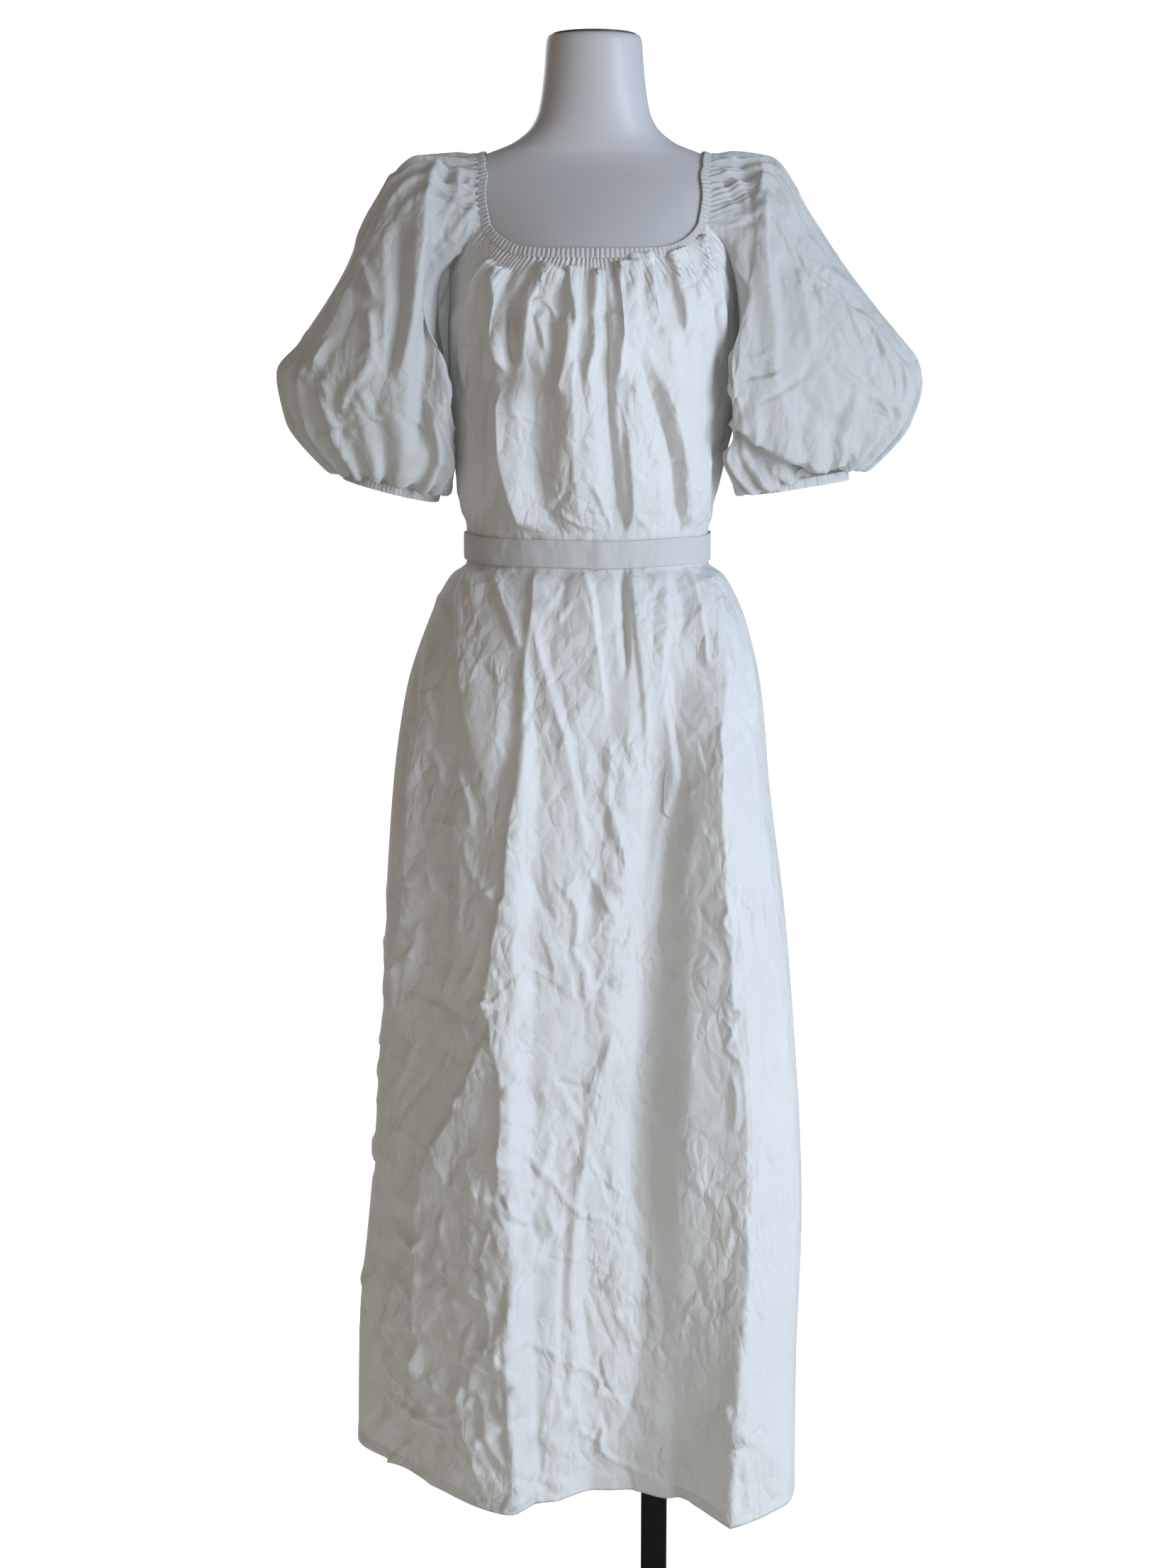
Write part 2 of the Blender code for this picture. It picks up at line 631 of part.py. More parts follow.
# The form: horizontal rings from the cut hip to the neck, closed at both ends
def add_form():
    columns = 32
    angle = np.linspace(0, 2 * math.pi, columns, endpoint=False)
    rings = [on_section(form_sections, angle, np.full(columns, row[0])) for row in form_sections]
    mesh = grid_mesh("form_torso", np.array(rings), closed=True)
    builder = bmesh.new()
    builder.from_mesh(mesh)
    bmesh.ops.holes_fill(builder, edges=builder.edges, sides=columns)
    bmesh.ops.recalc_face_normals(builder, faces=builder.faces)
    builder.to_mesh(mesh)
    builder.free()
    piece = add_object("form_torso", mesh, "form_gloss")
    mesh.set_sharp_from_angle(angle=math.radians(50))
    return piece


# A pocket bag pressed flat, hanging from the side seam inside the front panel
def add_pocket(side):
    share = np.linspace(0, 1, 6)[None, :]
    height = np.broadcast_to(np.array(pocket_rows)[:, None], (len(pocket_rows), 6))
    sign = 1 if side == "right" else -1
    seam = seam_angle(side, height)
    round_off = 1 - 0.35 * (height < pocket_free) * share
    angle = sign * (seam - math.radians(1.5) - math.radians(pocket_reach) * share * round_off)
    at_seam = fold_move(sign * seam, height)
    points = on_section(full_dress, angle, height) + at_seam * (1 - share[..., None]) ** 2
    inward = cloth / 2 + gap + pocket_thick / 2 + pocket_drop * smooth_step(share / 0.5)
    inward = inward + 0.004 * (height < pocket_free)
    points = points - section_normal(full_dress, angle, height) * inward[..., None]
    if side == "left":
        points = points[:, ::-1]
    return add_cloth("pocket_bag_" + side, points, pocket_thick)


def add_stand():
    add_cylinder("base_plate", base_radius, 0, base_thick, "stand_black", bevel=0.002)
    hub_low = base_thick + gap
    add_cylinder("base_hub", hub_radius, hub_low, hub_low + hub_height, "stand_black",
                 (pole_x, 0), 32)
    form_bottom = form_sections[0][0]
    flange_low = form_bottom - gap - flange_height
    add_cylinder("form_flange", flange_radius, flange_low, form_bottom - gap, "stand_black",
                 (pole_x, 0), 32)
    pole_low = hub_low + hub_height + gap
    pole_high = flange_low - gap
    add_box("pole", (pole_width, pole_width, pole_high - pole_low),
            (pole_x, 0, (pole_low + pole_high) / 2), "stand_black", 0.002)
    neck_top = form_sections[-1][0]
    cap_low = neck_top + gap
    add_cylinder("neck_cap", neck_cap_radius, cap_low, cap_low + neck_cap_thick, "cap_dark",
                 (0, neck_centre_y), 36)


for old in list(bpy.data.objects):
    bpy.data.objects.remove(old, do_unlink=True)
collection = bpy.data.collections.new("a_line_dress")
bpy.context.scene.collection.children.link(collection)
for material_name, (colour, roughness, metallic) in materials.items():
    material = bpy.data.materials.new(material_name)
    material.use_nodes = True
    shader = material.node_tree.nodes["Principled BSDF"]
    shader.inputs["Base Color"].default_value = (*colour, 1)
    shader.inputs["Roughness"].default_value = roughness
    shader.inputs["Metallic"].default_value = metallic

front_panel = panel_grid("front")
back_panel = panel_grid("back")
add_cloth("front_panel", front_panel[0], cloth)
add_cloth("back_panel", back_panel[0], cloth)
add_casing()
for sleeve_side, sleeve_rings in (("left", left_sleeve_rings), ("right", right_sleeve_rings)):
    sleeve = sleeve_grid(sleeve_side, sleeve_rings, front_panel, back_panel)
    add_cloth("sleeve_" + sleeve_side, sleeve, cloth, closed=True)
    add_cuff("cuff_" + sleeve_side, sleeve)
    add_pocket(sleeve_side)
add_belt(front_panel, back_panel)
add_tie()
add_form()
add_stand()
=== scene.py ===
import math

import bmesh
import bpy
import numpy as np
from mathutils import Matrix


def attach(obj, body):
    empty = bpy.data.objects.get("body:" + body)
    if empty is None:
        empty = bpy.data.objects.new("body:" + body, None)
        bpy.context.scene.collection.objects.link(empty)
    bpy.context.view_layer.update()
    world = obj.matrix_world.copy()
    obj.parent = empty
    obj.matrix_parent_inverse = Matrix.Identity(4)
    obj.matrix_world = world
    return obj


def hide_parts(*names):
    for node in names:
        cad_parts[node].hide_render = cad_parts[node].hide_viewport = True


# A white cotton dress with balloon sleeves on a dress form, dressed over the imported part.
# Metres, +Z up, the front faces -Y, left and right are the viewer's.
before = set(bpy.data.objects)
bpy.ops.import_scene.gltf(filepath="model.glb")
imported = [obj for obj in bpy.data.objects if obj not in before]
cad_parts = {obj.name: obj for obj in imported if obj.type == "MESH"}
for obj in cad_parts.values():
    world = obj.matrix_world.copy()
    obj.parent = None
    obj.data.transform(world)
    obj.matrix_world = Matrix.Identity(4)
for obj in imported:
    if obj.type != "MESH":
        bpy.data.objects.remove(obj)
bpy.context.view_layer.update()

# Camera, light and floor
view = {
    "place": (-0.006, -2.4, 1.404),
    "pitchDown": 10.02,
    "lens": 53.33,
    "sensor": 36.0,
}
cameraData = bpy.data.cameras.new("camera")
cameraData.lens = view["lens"]
cameraData.sensor_width = view["sensor"]
cameraData.clip_end = 100
camera = bpy.data.objects.new("camera", cameraData)
camera.location = view["place"]
camera.rotation_euler = (math.radians(90 - view["pitchDown"]), 0, 0)
bpy.context.scene.collection.objects.link(camera)
bpy.context.scene.camera = camera

studio = {
    "sky": (0.78, 0.87, 1.0),
    "skyStrength": 0.42,
    "warmSky": (1.0, 0.76, 0.52),
    "warmStrength": 0.17,
    "whiteStrength": 1.1,
    "keyPlace": (2.32, -1.95, 1.50),
    "keyAim": (0.0, 0.0, 0.95),
    "keySize": (1.2, 1.9),
    "keyPower": 90,
    "backPlace": (-1.4, 2.6, 2.0),
    "backPower": 34,
    "keyColour": (0.76, 0.87, 1.0),
    "fillPlace": (-1.5, -2.7, 1.7),
    "fillPower": 10,
    "fillColour": (1.0, 0.84, 0.66),
    "floorSize": 14.0,
    "floorColour": (0.86, 0.81, 0.73),
    "floorGlow": 1.5,
    "floorGlowShare": 0.74,
}


# A node with its settings and inputs. An input is a value, a socket, or a node's first output
def addNode(tree, kind, inputs, **settings):
    node = tree.nodes.new("ShaderNode" + kind)
    for name, value in settings.items():
        setattr(node, name, value)
    for name, value in inputs.items():
        if isinstance(value, bpy.types.Node):
            value = value.outputs[0]
        if isinstance(value, bpy.types.NodeSocket):
            tree.links.new(value, node.inputs[name])
        else:
            node.inputs[name].default_value = value
    return node


# A math node over one or two values or sockets
def calc(tree, operation, *values):
    return addNode(tree, "Math", dict(enumerate(values)), operation=operation)


# A new material with nothing in its node tree
def newMaterial(name):
    material = bpy.data.materials.new(name)
    material.use_nodes = True
    material.node_tree.nodes.clear()
    return material, material.node_tree


# The world: white to the camera, cool from the right and dimmer and warm from the left to the dress
def makeWorld():
    world = bpy.data.worlds.new("studioWorld")
    bpy.context.scene.world = world
    world.use_nodes = True
    tree = world.node_tree
    tree.nodes.clear()
    split = addNode(tree, "SeparateXYZ", {0: addNode(tree, "TexCoord", {}).outputs["Generated"]})
    side = addNode(tree, "MapRange", {"Value": split.outputs["X"], "From Min": -0.6, "From Max": 0.8},
                   interpolation_type="SMOOTHSTEP")
    skies = ((studio["warmSky"], studio["warmStrength"]), (studio["sky"], studio["skyStrength"]),
             ((1, 1, 1), studio["whiteStrength"]))
    warm, cool, white = (addNode(tree, "Background", {"Color": (*colour, 1), "Strength": strength})
                         for colour, strength in skies)
    light = addNode(tree, "MixShader", {0: side, 1: warm, 2: cool})
    toCamera = addNode(tree, "LightPath", {}).outputs["Is Camera Ray"]
    addNode(tree, "OutputWorld", {0: addNode(tree, "MixShader", {0: toCamera, 1: light, 2: white})})


# A large soft lamp that looks at the dress
def makeWindow(name, place, power, colour):
    data = bpy.data.lights.new(name, "AREA")
    data.shape = "RECTANGLE"
    data.size, data.size_y = studio["keySize"]
    data.energy = power
    data.color = colour
    lamp = bpy.data.objects.new(name, data)
    way = np.array(studio["keyAim"]) - np.array(place)
    lamp.location = place
    tilt = math.atan2(math.hypot(way[0], way[1]), -way[2])
    lamp.rotation_euler = (tilt, 0, math.atan2(way[1], way[0]) - math.pi / 2)
    bpy.context.scene.collection.objects.link(lamp)


# A plain pale floor that keeps a soft shadow
def makeFloor():
    half = studio["floorSize"] / 2
    mesh = bpy.data.meshes.new("floor")
    corners = [(-half, -half, 0), (half, -half, 0), (half, half, 0), (-half, half, 0)]
    mesh.from_pydata(corners, [], [(0, 1, 2, 3)])
    floor = bpy.data.objects.new("floor", mesh)
    bpy.context.scene.collection.objects.link(floor)
    material, tree = newMaterial("floorPaint")
    paint = addNode(tree, "BsdfDiffuse", {"Color": (*studio["floorColour"], 1)})
    glow = addNode(tree, "Emission", {"Strength": studio["floorGlow"]})
    toCamera = addNode(tree, "LightPath", {}).outputs["Is Camera Ray"]
    share = calc(tree, "MULTIPLY", toCamera, studio["floorGlowShare"])
    addNode(tree, "OutputMaterial", {0: addNode(tree, "MixShader", {0: share, 1: paint, 2: glow})})
    mesh.materials.append(material)


makeWorld()
makeWindow("window", studio["keyPlace"], studio["keyPower"], studio["keyColour"])
makeWindow("warmWindow", studio["fillPlace"], studio["fillPower"], studio["fillColour"])
makeWindow("backWindow", studio["backPlace"], studio["backPower"], studio["keyColour"])
makeFloor()
bpy.context.scene.view_settings.view_transform = "Standard"
print("stage: camera, window and floor are set")


# Curves and surfaces in numpy

# Slopes at the knots that keep a curve from overshooting: level at each peak, dip and plateau
def knotSlopes(knots, values):
    runs = np.diff(knots).reshape((-1,) + (1,) * (values.ndim - 1))
    rises = np.diff(values, axis=0) / runs
    before, after = rises[:-1], rises[1:]
    sameWay = before * after > 0
    total = np.where(sameWay, before + after, 1)
    middle = np.where(sameWay, 2 * before * after / total, 0)
    return np.concatenate([rises[:1], middle, rises[-1:]])


# Cubic through the knots: each cell is a Hermite curve between its two values and slopes
def smoothBetween(knots, values, at):
    knots = np.asarray(knots, dtype=float)
    values = np.asarray(values, dtype=float)
    slopes = knotSlopes(knots, values)
    at = np.clip(at, knots[0], knots[-1])
    cell = np.clip(np.searchsorted(knots, at) - 1, 0, len(knots) - 2)
    width = knots[cell + 1] - knots[cell]
    t = (at - knots[cell]) / width
    if values.ndim > 1:
        shape = t.shape + (1,) * (values.ndim - 1)
        t, width = t.reshape(shape), width.reshape(shape)
    low, high = values[cell], values[cell + 1]
    lowSlope, highSlope = slopes[cell] * width, slopes[cell + 1] * width
    return (low * (2 * t**3 - 3 * t**2 + 1) + lowSlope * (t**3 - 2 * t**2 + t)
            + high * (3 * t**2 - 2 * t**3) + highSlope * (t**3 - t**2))


# 0 before 0, 1 after 1, and 3t^2 - 2t^3 between
def smoothStep(value):
    t = np.clip(value, 0, 1)
    return t * t * (3 - 2 * t)


# Vectors of length 1
def unit(vectors):
    return vectors / np.maximum(np.linalg.norm(vectors, axis=-1, keepdims=True), 1e-12)


# Sizes of the form and the dress at each height: to the left, to the right, front and back
cloth = {
    "gap": 0.0004,
    "wall": 0.0015,
    "formEase": 0.0008,
    "chestEase": 0.0034,
    "hemHeight": 0.255,
    "underarm": 1.375,
    "beltLow": 1.2165,
    "beltHigh": 1.2440,
}
cloth["beltMiddle"] = (cloth["beltLow"] + cloth["beltHigh"]) / 2
formSections = (
    (0.930, 0.1500, 0.1400, 0.0800, 0.0900), (1.000, 0.1720, 0.1550, 0.0960, 0.1120),
    (1.080, 0.1760, 0.1580, 0.0990, 0.1160), (1.140, 0.1620, 0.1450, 0.0930, 0.1060),
    (1.190, 0.1370, 0.1240, 0.0860, 0.0900), (1.213, 0.1290, 0.1160, 0.0880, 0.0840),
    (1.248, 0.1290, 0.1160, 0.0880, 0.0840), (1.310, 0.1300, 0.1220, 0.0990, 0.0910),
    (1.375, 0.1390, 0.1380, 0.1180, 0.0980), (1.430, 0.1430, 0.1430, 0.1250, 0.1030),
    (1.480, 0.1460, 0.1450, 0.1190, 0.1040), (1.5175, 0.1465, 0.1465, 0.1095, 0.1010),
    (1.550, 0.1490, 0.1490, 0.0880, 0.0970), (1.585, 0.1540, 0.1540, 0.0600, 0.0860),
    (1.602, 0.1470, 0.1470, 0.0460, 0.0720), (1.613, 0.1270, 0.1270, 0.0390, 0.0610),
    (1.621, 0.1060, 0.1060, 0.0360, 0.0560), (1.631, 0.0810, 0.0810, 0.0360, 0.0540),
    (1.646, 0.0630, 0.0630, 0.0380, 0.0520), (1.662, 0.0555, 0.0555, 0.0395, 0.0510),
    (1.685, 0.0515, 0.0515, 0.0410, 0.0510), (1.710, 0.0490, 0.0490, 0.0410, 0.0510),
    (1.729, 0.0475, 0.0475, 0.0405, 0.0505), (1.7335, 0.0455, 0.0455, 0.0385, 0.0485),
)
dressSections = (
    (0.255, 0.2590, 0.2140, 0.1660, 0.1980), (0.390, 0.2550, 0.2130, 0.1640, 0.1920),
    (0.530, 0.2410, 0.2165, 0.1610, 0.1860), (0.680, 0.2290, 0.2105, 0.1570, 0.1780),
    (0.840, 0.2205, 0.2005, 0.1520, 0.1680), (0.980, 0.2100, 0.1840, 0.1460, 0.1580),
    (1.080, 0.1950, 0.1740, 0.1350, 0.1410), (1.150, 0.1720, 0.1580, 0.1200, 0.1180),
    (1.200, 0.1470, 0.1340, 0.1010, 0.0950), (1.213, 0.1308, 0.1178, 0.0898, 0.0858),
    (1.248, 0.1308, 0.1178, 0.0898, 0.0858), (1.290, 0.1385, 0.1280, 0.1100, 0.0990),
    (1.330, 0.1430, 0.1370, 0.1230, 0.1050), (1.375, 0.1460, 0.1460, 0.1320, 0.1080),
    (1.430, 0.1475, 0.1475, 0.1370, 0.1110), (1.480, 0.1495, 0.1495, 0.1270, 0.1090),
)
fullDress = dressSections + tuple(
    (row[0], *(size + cloth["chestEase"] for size in row[1:])) for row in formSections if row[0] > 1.50)


# Point of a section at an angle from the centre front: a quarter of an ellipse each way
def onSection(sections, angle, height):
    table = np.array(sections)
    sizes = smoothBetween(table[:, 0], table[:, 1:], np.asarray(height, dtype=float))
    left, right, front, back = np.moveaxis(sizes, -1, 0)
    sine, cosine = np.sin(angle), np.cos(angle)
    x = np.where(sine < 0, left, right) * sine
    y = -np.where(cosine > 0, front, back) * cosine
    return np.stack([x, y, np.broadcast_to(height, x.shape)], axis=-1)


# Outward normal of a section surface: the cross product of a small step round and a small step up
def sectionNormal(sections, angle, height):
    step = 0.002
    across = onSection(sections, angle + step, height) - onSection(sections, angle - step, height)
    up = onSection(sections, angle, height + step) - onSection(sections, angle, height - step)
    return unit(np.cross(across, up))


# The angle about the axis of points that lie near a section surface
def sectionAngle(sections, points):
    table = np.array(sections)
    sizes = smoothBetween(table[:, 0], table[:, 1:], points[..., 2])
    left, right, front, back = np.moveaxis(sizes, -1, 0)
    x = points[..., 0] / np.where(points[..., 0] < 0, left, right)
    y = -points[..., 1] / np.where(points[..., 1] < 0, front, back)
    return np.arctan2(x, y)


# Normals of a grid of points, by differences along its rows and columns
def gridNormals(points, flip=False, closed=False):
    if closed:
        across = np.roll(points, -1, axis=1) - np.roll(points, 1, axis=1)
    else:
        across = np.gradient(points, axis=1)
    normals = unit(np.cross(np.gradient(points, axis=0), across))
    return -normals if flip else normals


# Quads of a grid, row by row
def gridFaces(rows, columns, flip):
    r, c = np.meshgrid(np.arange(rows - 1), np.arange(columns - 1), indexing="ij")
    here = r * columns + c
    below = here + columns
    faces = np.stack([here, below, below + 1, here + 1], axis=-1).reshape(-1, 4)
    return faces[:, ::-1] if flip else faces


# A mesh object from points and quads, with a UV map in metres of cloth where it is given
def addMesh(name, points, faces, material, uv=None, weld=False):
    mesh = bpy.data.meshes.new(name)
    mesh.vertices.add(len(points))
    mesh.vertices.foreach_set("co", np.ascontiguousarray(points, dtype=np.float32).ravel())
    corners = faces.shape[1]
    mesh.loops.add(faces.size)
    mesh.loops.foreach_set("vertex_index", np.ascontiguousarray(faces, dtype=np.int32).ravel())
    mesh.polygons.add(len(faces))
    mesh.polygons.foreach_set("loop_start", np.arange(0, faces.size, corners, dtype=np.int32))
    mesh.update(calc_edges=True)
    if uv is not None:
        layer = mesh.uv_layers.new(name="clothMap")
        layer.uv.foreach_set("vector", np.ascontiguousarray(uv[faces.ravel()], dtype=np.float32).ravel())
    if weld:
        edit = bmesh.new()
        edit.from_mesh(mesh)
        bmesh.ops.remove_doubles(edit, verts=edit.verts, dist=1e-7)
        edit.to_mesh(mesh)
        edit.free()
    mesh.materials.append(material)
    mesh.shade_smooth()
    mesh.validate()
    piece = bpy.data.objects.new(name, mesh)
    bpy.context.scene.collection.objects.link(piece)
    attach(piece, "root")
    return piece


# A cotton piece hides the solid it stands for
def layCotton(solid):
    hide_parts(solid)


# A grid surface as an object: rows by columns of points, u across and v down in metres
def addGrid(name, points, material, flip=False, closed=False, uv=None, weld=False):
    rows, columns = points.shape[:2]
    if closed:
        # The first column is repeated, so that the cloth map has a seam there
        points = np.concatenate([points, points[:, :1]], axis=1)
        columns += 1
    flatUv = None if uv is None else uv.reshape(-1, 2)
    faces = gridFaces(rows, columns, flip)
    return addMesh(name, points.reshape(-1, 3), faces, material, flatUv, weld or closed)


# Finishes

cotton = {
    "shade": (0.70, 0.71, 0.72),
    "light": (0.82, 0.83, 0.84),
    "slubColour": (0.5, 0.5, 0.5),
    "slubDarker": 0.06,
    "roughness": 0.88,
    "sheen": 0.12,
    "specular": 0.25,
    "through": 0.22,
    "throughColour": (0.80, 0.82, 0.76),
    "threads": 1400,
    "threadWave": 0.3183,
    "weaveDepth": 0.00010,
    "slubStretches": ((900, 18, 900), (18, 900, 900)),
    "crumpleCells": 30,
    "crumpleSizes": (1.0, 2.6),
    "crumpleStretch": (1.0, 1.0, 0.55),
    "crumpleDrift": (0.030, 0.030, 0.030),
    "crumpleDepth": 0.0190,
    "hemLine": -1.278,
    "stitchWide": 0.0005,
    "stitches": 380,
    "stitchShare": 0.7,
    "stitchDepth": 0.0007,
}


# A group that takes a vector and one number, with its inner input and output nodes
def newGroup(name, number, value, results):
    group = bpy.data.node_groups.new(name, "ShaderNodeTree")
    group.interface.new_socket("Vector", in_out="INPUT", socket_type="NodeSocketVector")
    socket = group.interface.new_socket(number, in_out="INPUT", socket_type="NodeSocketFloat")
    socket.default_value = value
    for result in results:
        group.interface.new_socket(result, in_out="OUTPUT", socket_type="NodeSocketFloat")
    return group, group.nodes.new("NodeGroupInput"), group.nodes.new("NodeGroupOutput")


# Threads of a plain weave, as a height and a tone
def makeWeaveGroup():
    group, start, end = newGroup("plainWeave", "Threads per metre", cotton["threads"], ("Height", "Slub"))
    vector = start.outputs["Vector"]
    scaled = addNode(group, "VectorMath", {0: vector, "Scale": start.outputs["Threads per metre"]},
                     operation="SCALE")
    waves = [addNode(group, "TexWave", {"Vector": scaled, "Scale": cotton["threadWave"], "Distortion": 0.6,
                                        "Detail": 1.0}, wave_type="BANDS", bands_direction=direction)
             for direction in ("X", "Y")]
    both = calc(group, "ADD", waves[0].outputs["Fac"], waves[1].outputs["Fac"])
    group.links.new(both.outputs[0], end.inputs["Height"])
    # Slubs: thicker threads, as long thin streaks both ways
    streaks = []
    for stretch in cotton["slubStretches"]:
        longWay = addNode(group, "VectorMath", {0: vector, 1: stretch}, operation="MULTIPLY")
        noise = addNode(group, "TexNoise", {"Vector": longWay, "Scale": 1.0, "Detail": 2.0})
        streaks.append(noise.outputs["Fac"])
    most = calc(group, "MAXIMUM", *streaks)
    thin = addNode(group, "MapRange", {"Value": most, "From Min": 0.58, "From Max": 0.74})
    group.links.new(thin.outputs[0], end.inputs["Slub"])
    return group


# Fine crumples: uneven cells of two sizes, each raised like a hipped roof so that flat facets meet in
# sharp lines. A soft cloud says where they are strong
def makeCrumpleGroup():
    group, start, end = newGroup("crumple", "Cells per metre", cotton["crumpleCells"], ("Height", "Tone"))
    vector = start.outputs["Vector"]
    drift = addNode(group, "TexNoise", {"Vector": vector, "Scale": 14, "Detail": 2})
    moved = addNode(group, "VectorMath", {0: drift.outputs["Color"], 1: cotton["crumpleDrift"], 2: vector},
                    operation="MULTIPLY_ADD")
    tall = addNode(group, "VectorMath", {0: moved, 1: cotton["crumpleStretch"]}, operation="MULTIPLY")
    roofs = []
    for finer in cotton["crumpleSizes"]:
        scale = calc(group, "MULTIPLY", start.outputs["Cells per metre"], finer)
        cells = addNode(group, "TexVoronoi", {"Vector": tall, "Scale": scale}, feature="DISTANCE_TO_EDGE")
        roofs.append(calc(group, "DIVIDE", cells.outputs["Distance"], finer))
    tone = addNode(group, "TexNoise", {"Vector": vector, "Scale": 9, "Detail": 5})
    where = addNode(group, "MapRange", {"Value": drift.outputs["Fac"], "From Min": 0.40, "From Max": 0.62,
                                        "To Min": 0.35})
    high = calc(group, "MULTIPLY", calc(group, "ADD", *roofs), where)
    group.links.new(high.outputs[0], end.inputs["Height"])
    group.links.new(tone.outputs["Fac"], end.inputs["Tone"])
    return group


# A row of stitches across the cloth map: 1 on the thread, 0 off it
def makeStitchGroup():
    group, start, end = newGroup("stitchRow", "Line", cotton["hemLine"], ("Thread",))
    split = addNode(group, "SeparateXYZ", {0: start.outputs["Vector"]})
    away = calc(group, "ABSOLUTE", calc(group, "SUBTRACT", split.outputs["Y"], start.outputs["Line"]))
    onLine = calc(group, "LESS_THAN", away, cotton["stitchWide"])
    share = calc(group, "FRACT", calc(group, "MULTIPLY", split.outputs["X"], cotton["stitches"]))
    thread = calc(group, "MULTIPLY", onLine, calc(group, "LESS_THAN", share, cotton["stitchShare"]))
    group.links.new(thread.outputs[0], end.inputs["Thread"])
    return group


weaveGroup = makeWeaveGroup()
crumpleGroup = makeCrumpleGroup()
stitchGroup = makeStitchGroup()


# Cotton: weave and stitches from the cloth map, fine crumples from the object's own coordinates, and
# some light through
def makeCotton(name, crumple=1.0, through=cotton["through"], shade=1.0):
    material, tree = newMaterial(name)
    coords = addNode(tree, "TexCoord", {})
    clothMap, place = coords.outputs["UV"], coords.outputs["Object"]
    weave = addNode(tree, "Group", {}, node_tree=weaveGroup)
    folds = addNode(tree, "Group", {}, node_tree=crumpleGroup)
    stitches = addNode(tree, "Group", {}, node_tree=stitchGroup)
    for node, vector in ((weave, clothMap), (folds, place), (stitches, clothMap)):
        tree.links.new(vector, node.inputs["Vector"])
    weave.inputs["Threads per metre"].default_value = cotton["threads"]
    folds.inputs["Cells per metre"].default_value = cotton["crumpleCells"]
    stitches.inputs["Line"].default_value = cotton["hemLine"]
    tone = addNode(tree, "Mix", {}, data_type="RGBA")
    tree.links.new(folds.outputs["Tone"], tone.inputs[0])
    # A shade below 1 makes a darker copy of the same white cotton: painted shade, not a different cloth
    tone.inputs[6].default_value = (*(shade * c for c in cotton["shade"]), 1)
    tone.inputs[7].default_value = (*(shade * c for c in cotton["light"]), 1)
    slub = calc(tree, "MULTIPLY", weave.outputs["Slub"], cotton["slubDarker"])
    darker = addNode(tree, "Mix", {0: slub, 6: tone.outputs[2], 7: (*cotton["slubColour"], 1)},
                     data_type="RGBA")
    weaveBump = addNode(tree, "Bump", {"Height": weave.outputs["Height"], "Strength": 0.35,
                                       "Distance": cotton["weaveDepth"]})
    stitchBump = addNode(tree, "Bump", {"Height": stitches.outputs["Thread"], "Strength": 0.9,
                                        "Distance": cotton["stitchDepth"], "Normal": weaveBump}, invert=True)
    foldBump = addNode(tree, "Bump", {"Height": folds.outputs["Height"], "Strength": 0.5 * crumple,
                                      "Distance": cotton["crumpleDepth"], "Normal": stitchBump})
    shader = addNode(tree, "BsdfPrincipled", {
        "Base Color": darker.outputs[2], "Normal": foldBump, "Roughness": cotton["roughness"],
        "Sheen Weight": cotton["sheen"], "Specular IOR Level": cotton["specular"]})
    glow = addNode(tree, "BsdfTranslucent", {"Color": (*cotton["throughColour"], 1), "Normal": foldBump})
    addNode(tree, "OutputMaterial", {0: addNode(tree, "MixShader", {0: through, 1: shader, 2: glow})})
    return material


dressCotton = makeCotton("dressCotton")
# The sleeves' copy of the cotton is darkened by shade 0.80: painted shade on the same white cotton
sleeveCottonPaintedShade = makeCotton("sleeveCottonPaintedShade", 0.8, 0.26, 0.80)
# The doubled belt, casings, knot and ends let less light through, and their copy is darkened by shade 0.70:
# painted shade on the same white cotton
doubledCottonPaintedShade = makeCotton("doubledCottonPaintedShade", 0.35, 0.06, 0.70)

form = {
    "colour": (0.43, 0.43, 0.45),
    "paler": (0.49, 0.50, 0.53),
    "roughness": 0.50,
    "coat": 0.12,
    "coatRoughness": 0.24,
}


# The form's shell: pale grey moulding, faintly uneven, with a gloss coat
def makeShell():
    material, tree = newMaterial("formShell")
    place = addNode(tree, "TexCoord", {}).outputs["Object"]
    cloud = addNode(tree, "TexNoise", {"Vector": place, "Scale": 6, "Detail": 4})
    tone = addNode(tree, "Mix", {0: cloud.outputs["Fac"], 6: (*form["colour"], 1), 7: (*form["paler"], 1)},
                   data_type="RGBA")
    scuff = addNode(tree, "TexNoise", {"Vector": place, "Scale": 60, "Detail": 6})
    rough = addNode(tree, "MapRange", {"Value": scuff.outputs["Fac"], "To Min": form["roughness"] - 0.05,
                                       "To Max": form["roughness"] + 0.08})
    shader = addNode(tree, "BsdfPrincipled", {
        "Base Color": tone.outputs[2], "Roughness": rough, "Coat Weight": form["coat"],
        "Coat Roughness": form["coatRoughness"]})
    addNode(tree, "OutputMaterial", {0: shader})
    return material


# Dark paint or plastic with a fine grain and slightly worn, paler patches
def makeDark(name, colour, worn, roughness, grain):
    material, tree = newMaterial(name)
    place = addNode(tree, "TexCoord", {}).outputs["Object"]
    fine = addNode(tree, "TexNoise", {"Vector": place, "Scale": grain, "Detail": 3})
    patch = addNode(tree, "TexNoise", {"Vector": place, "Scale": 11, "Detail": 6})
    thin = addNode(tree, "MapRange", {"Value": patch.outputs["Fac"], "From Min": 0.55, "From Max": 0.8})
    tone = addNode(tree, "Mix", {0: thin, 6: (*colour, 1), 7: (*worn, 1)}, data_type="RGBA")
    bump = addNode(tree, "Bump", {"Height": fine.outputs["Fac"], "Strength": 0.25, "Distance": 0.0003})
    shader = addNode(tree, "BsdfPrincipled", {
        "Base Color": tone.outputs[2], "Normal": bump, "Roughness": roughness, "Specular IOR Level": 0.2})
    addNode(tree, "OutputMaterial", {0: shader})
    return material


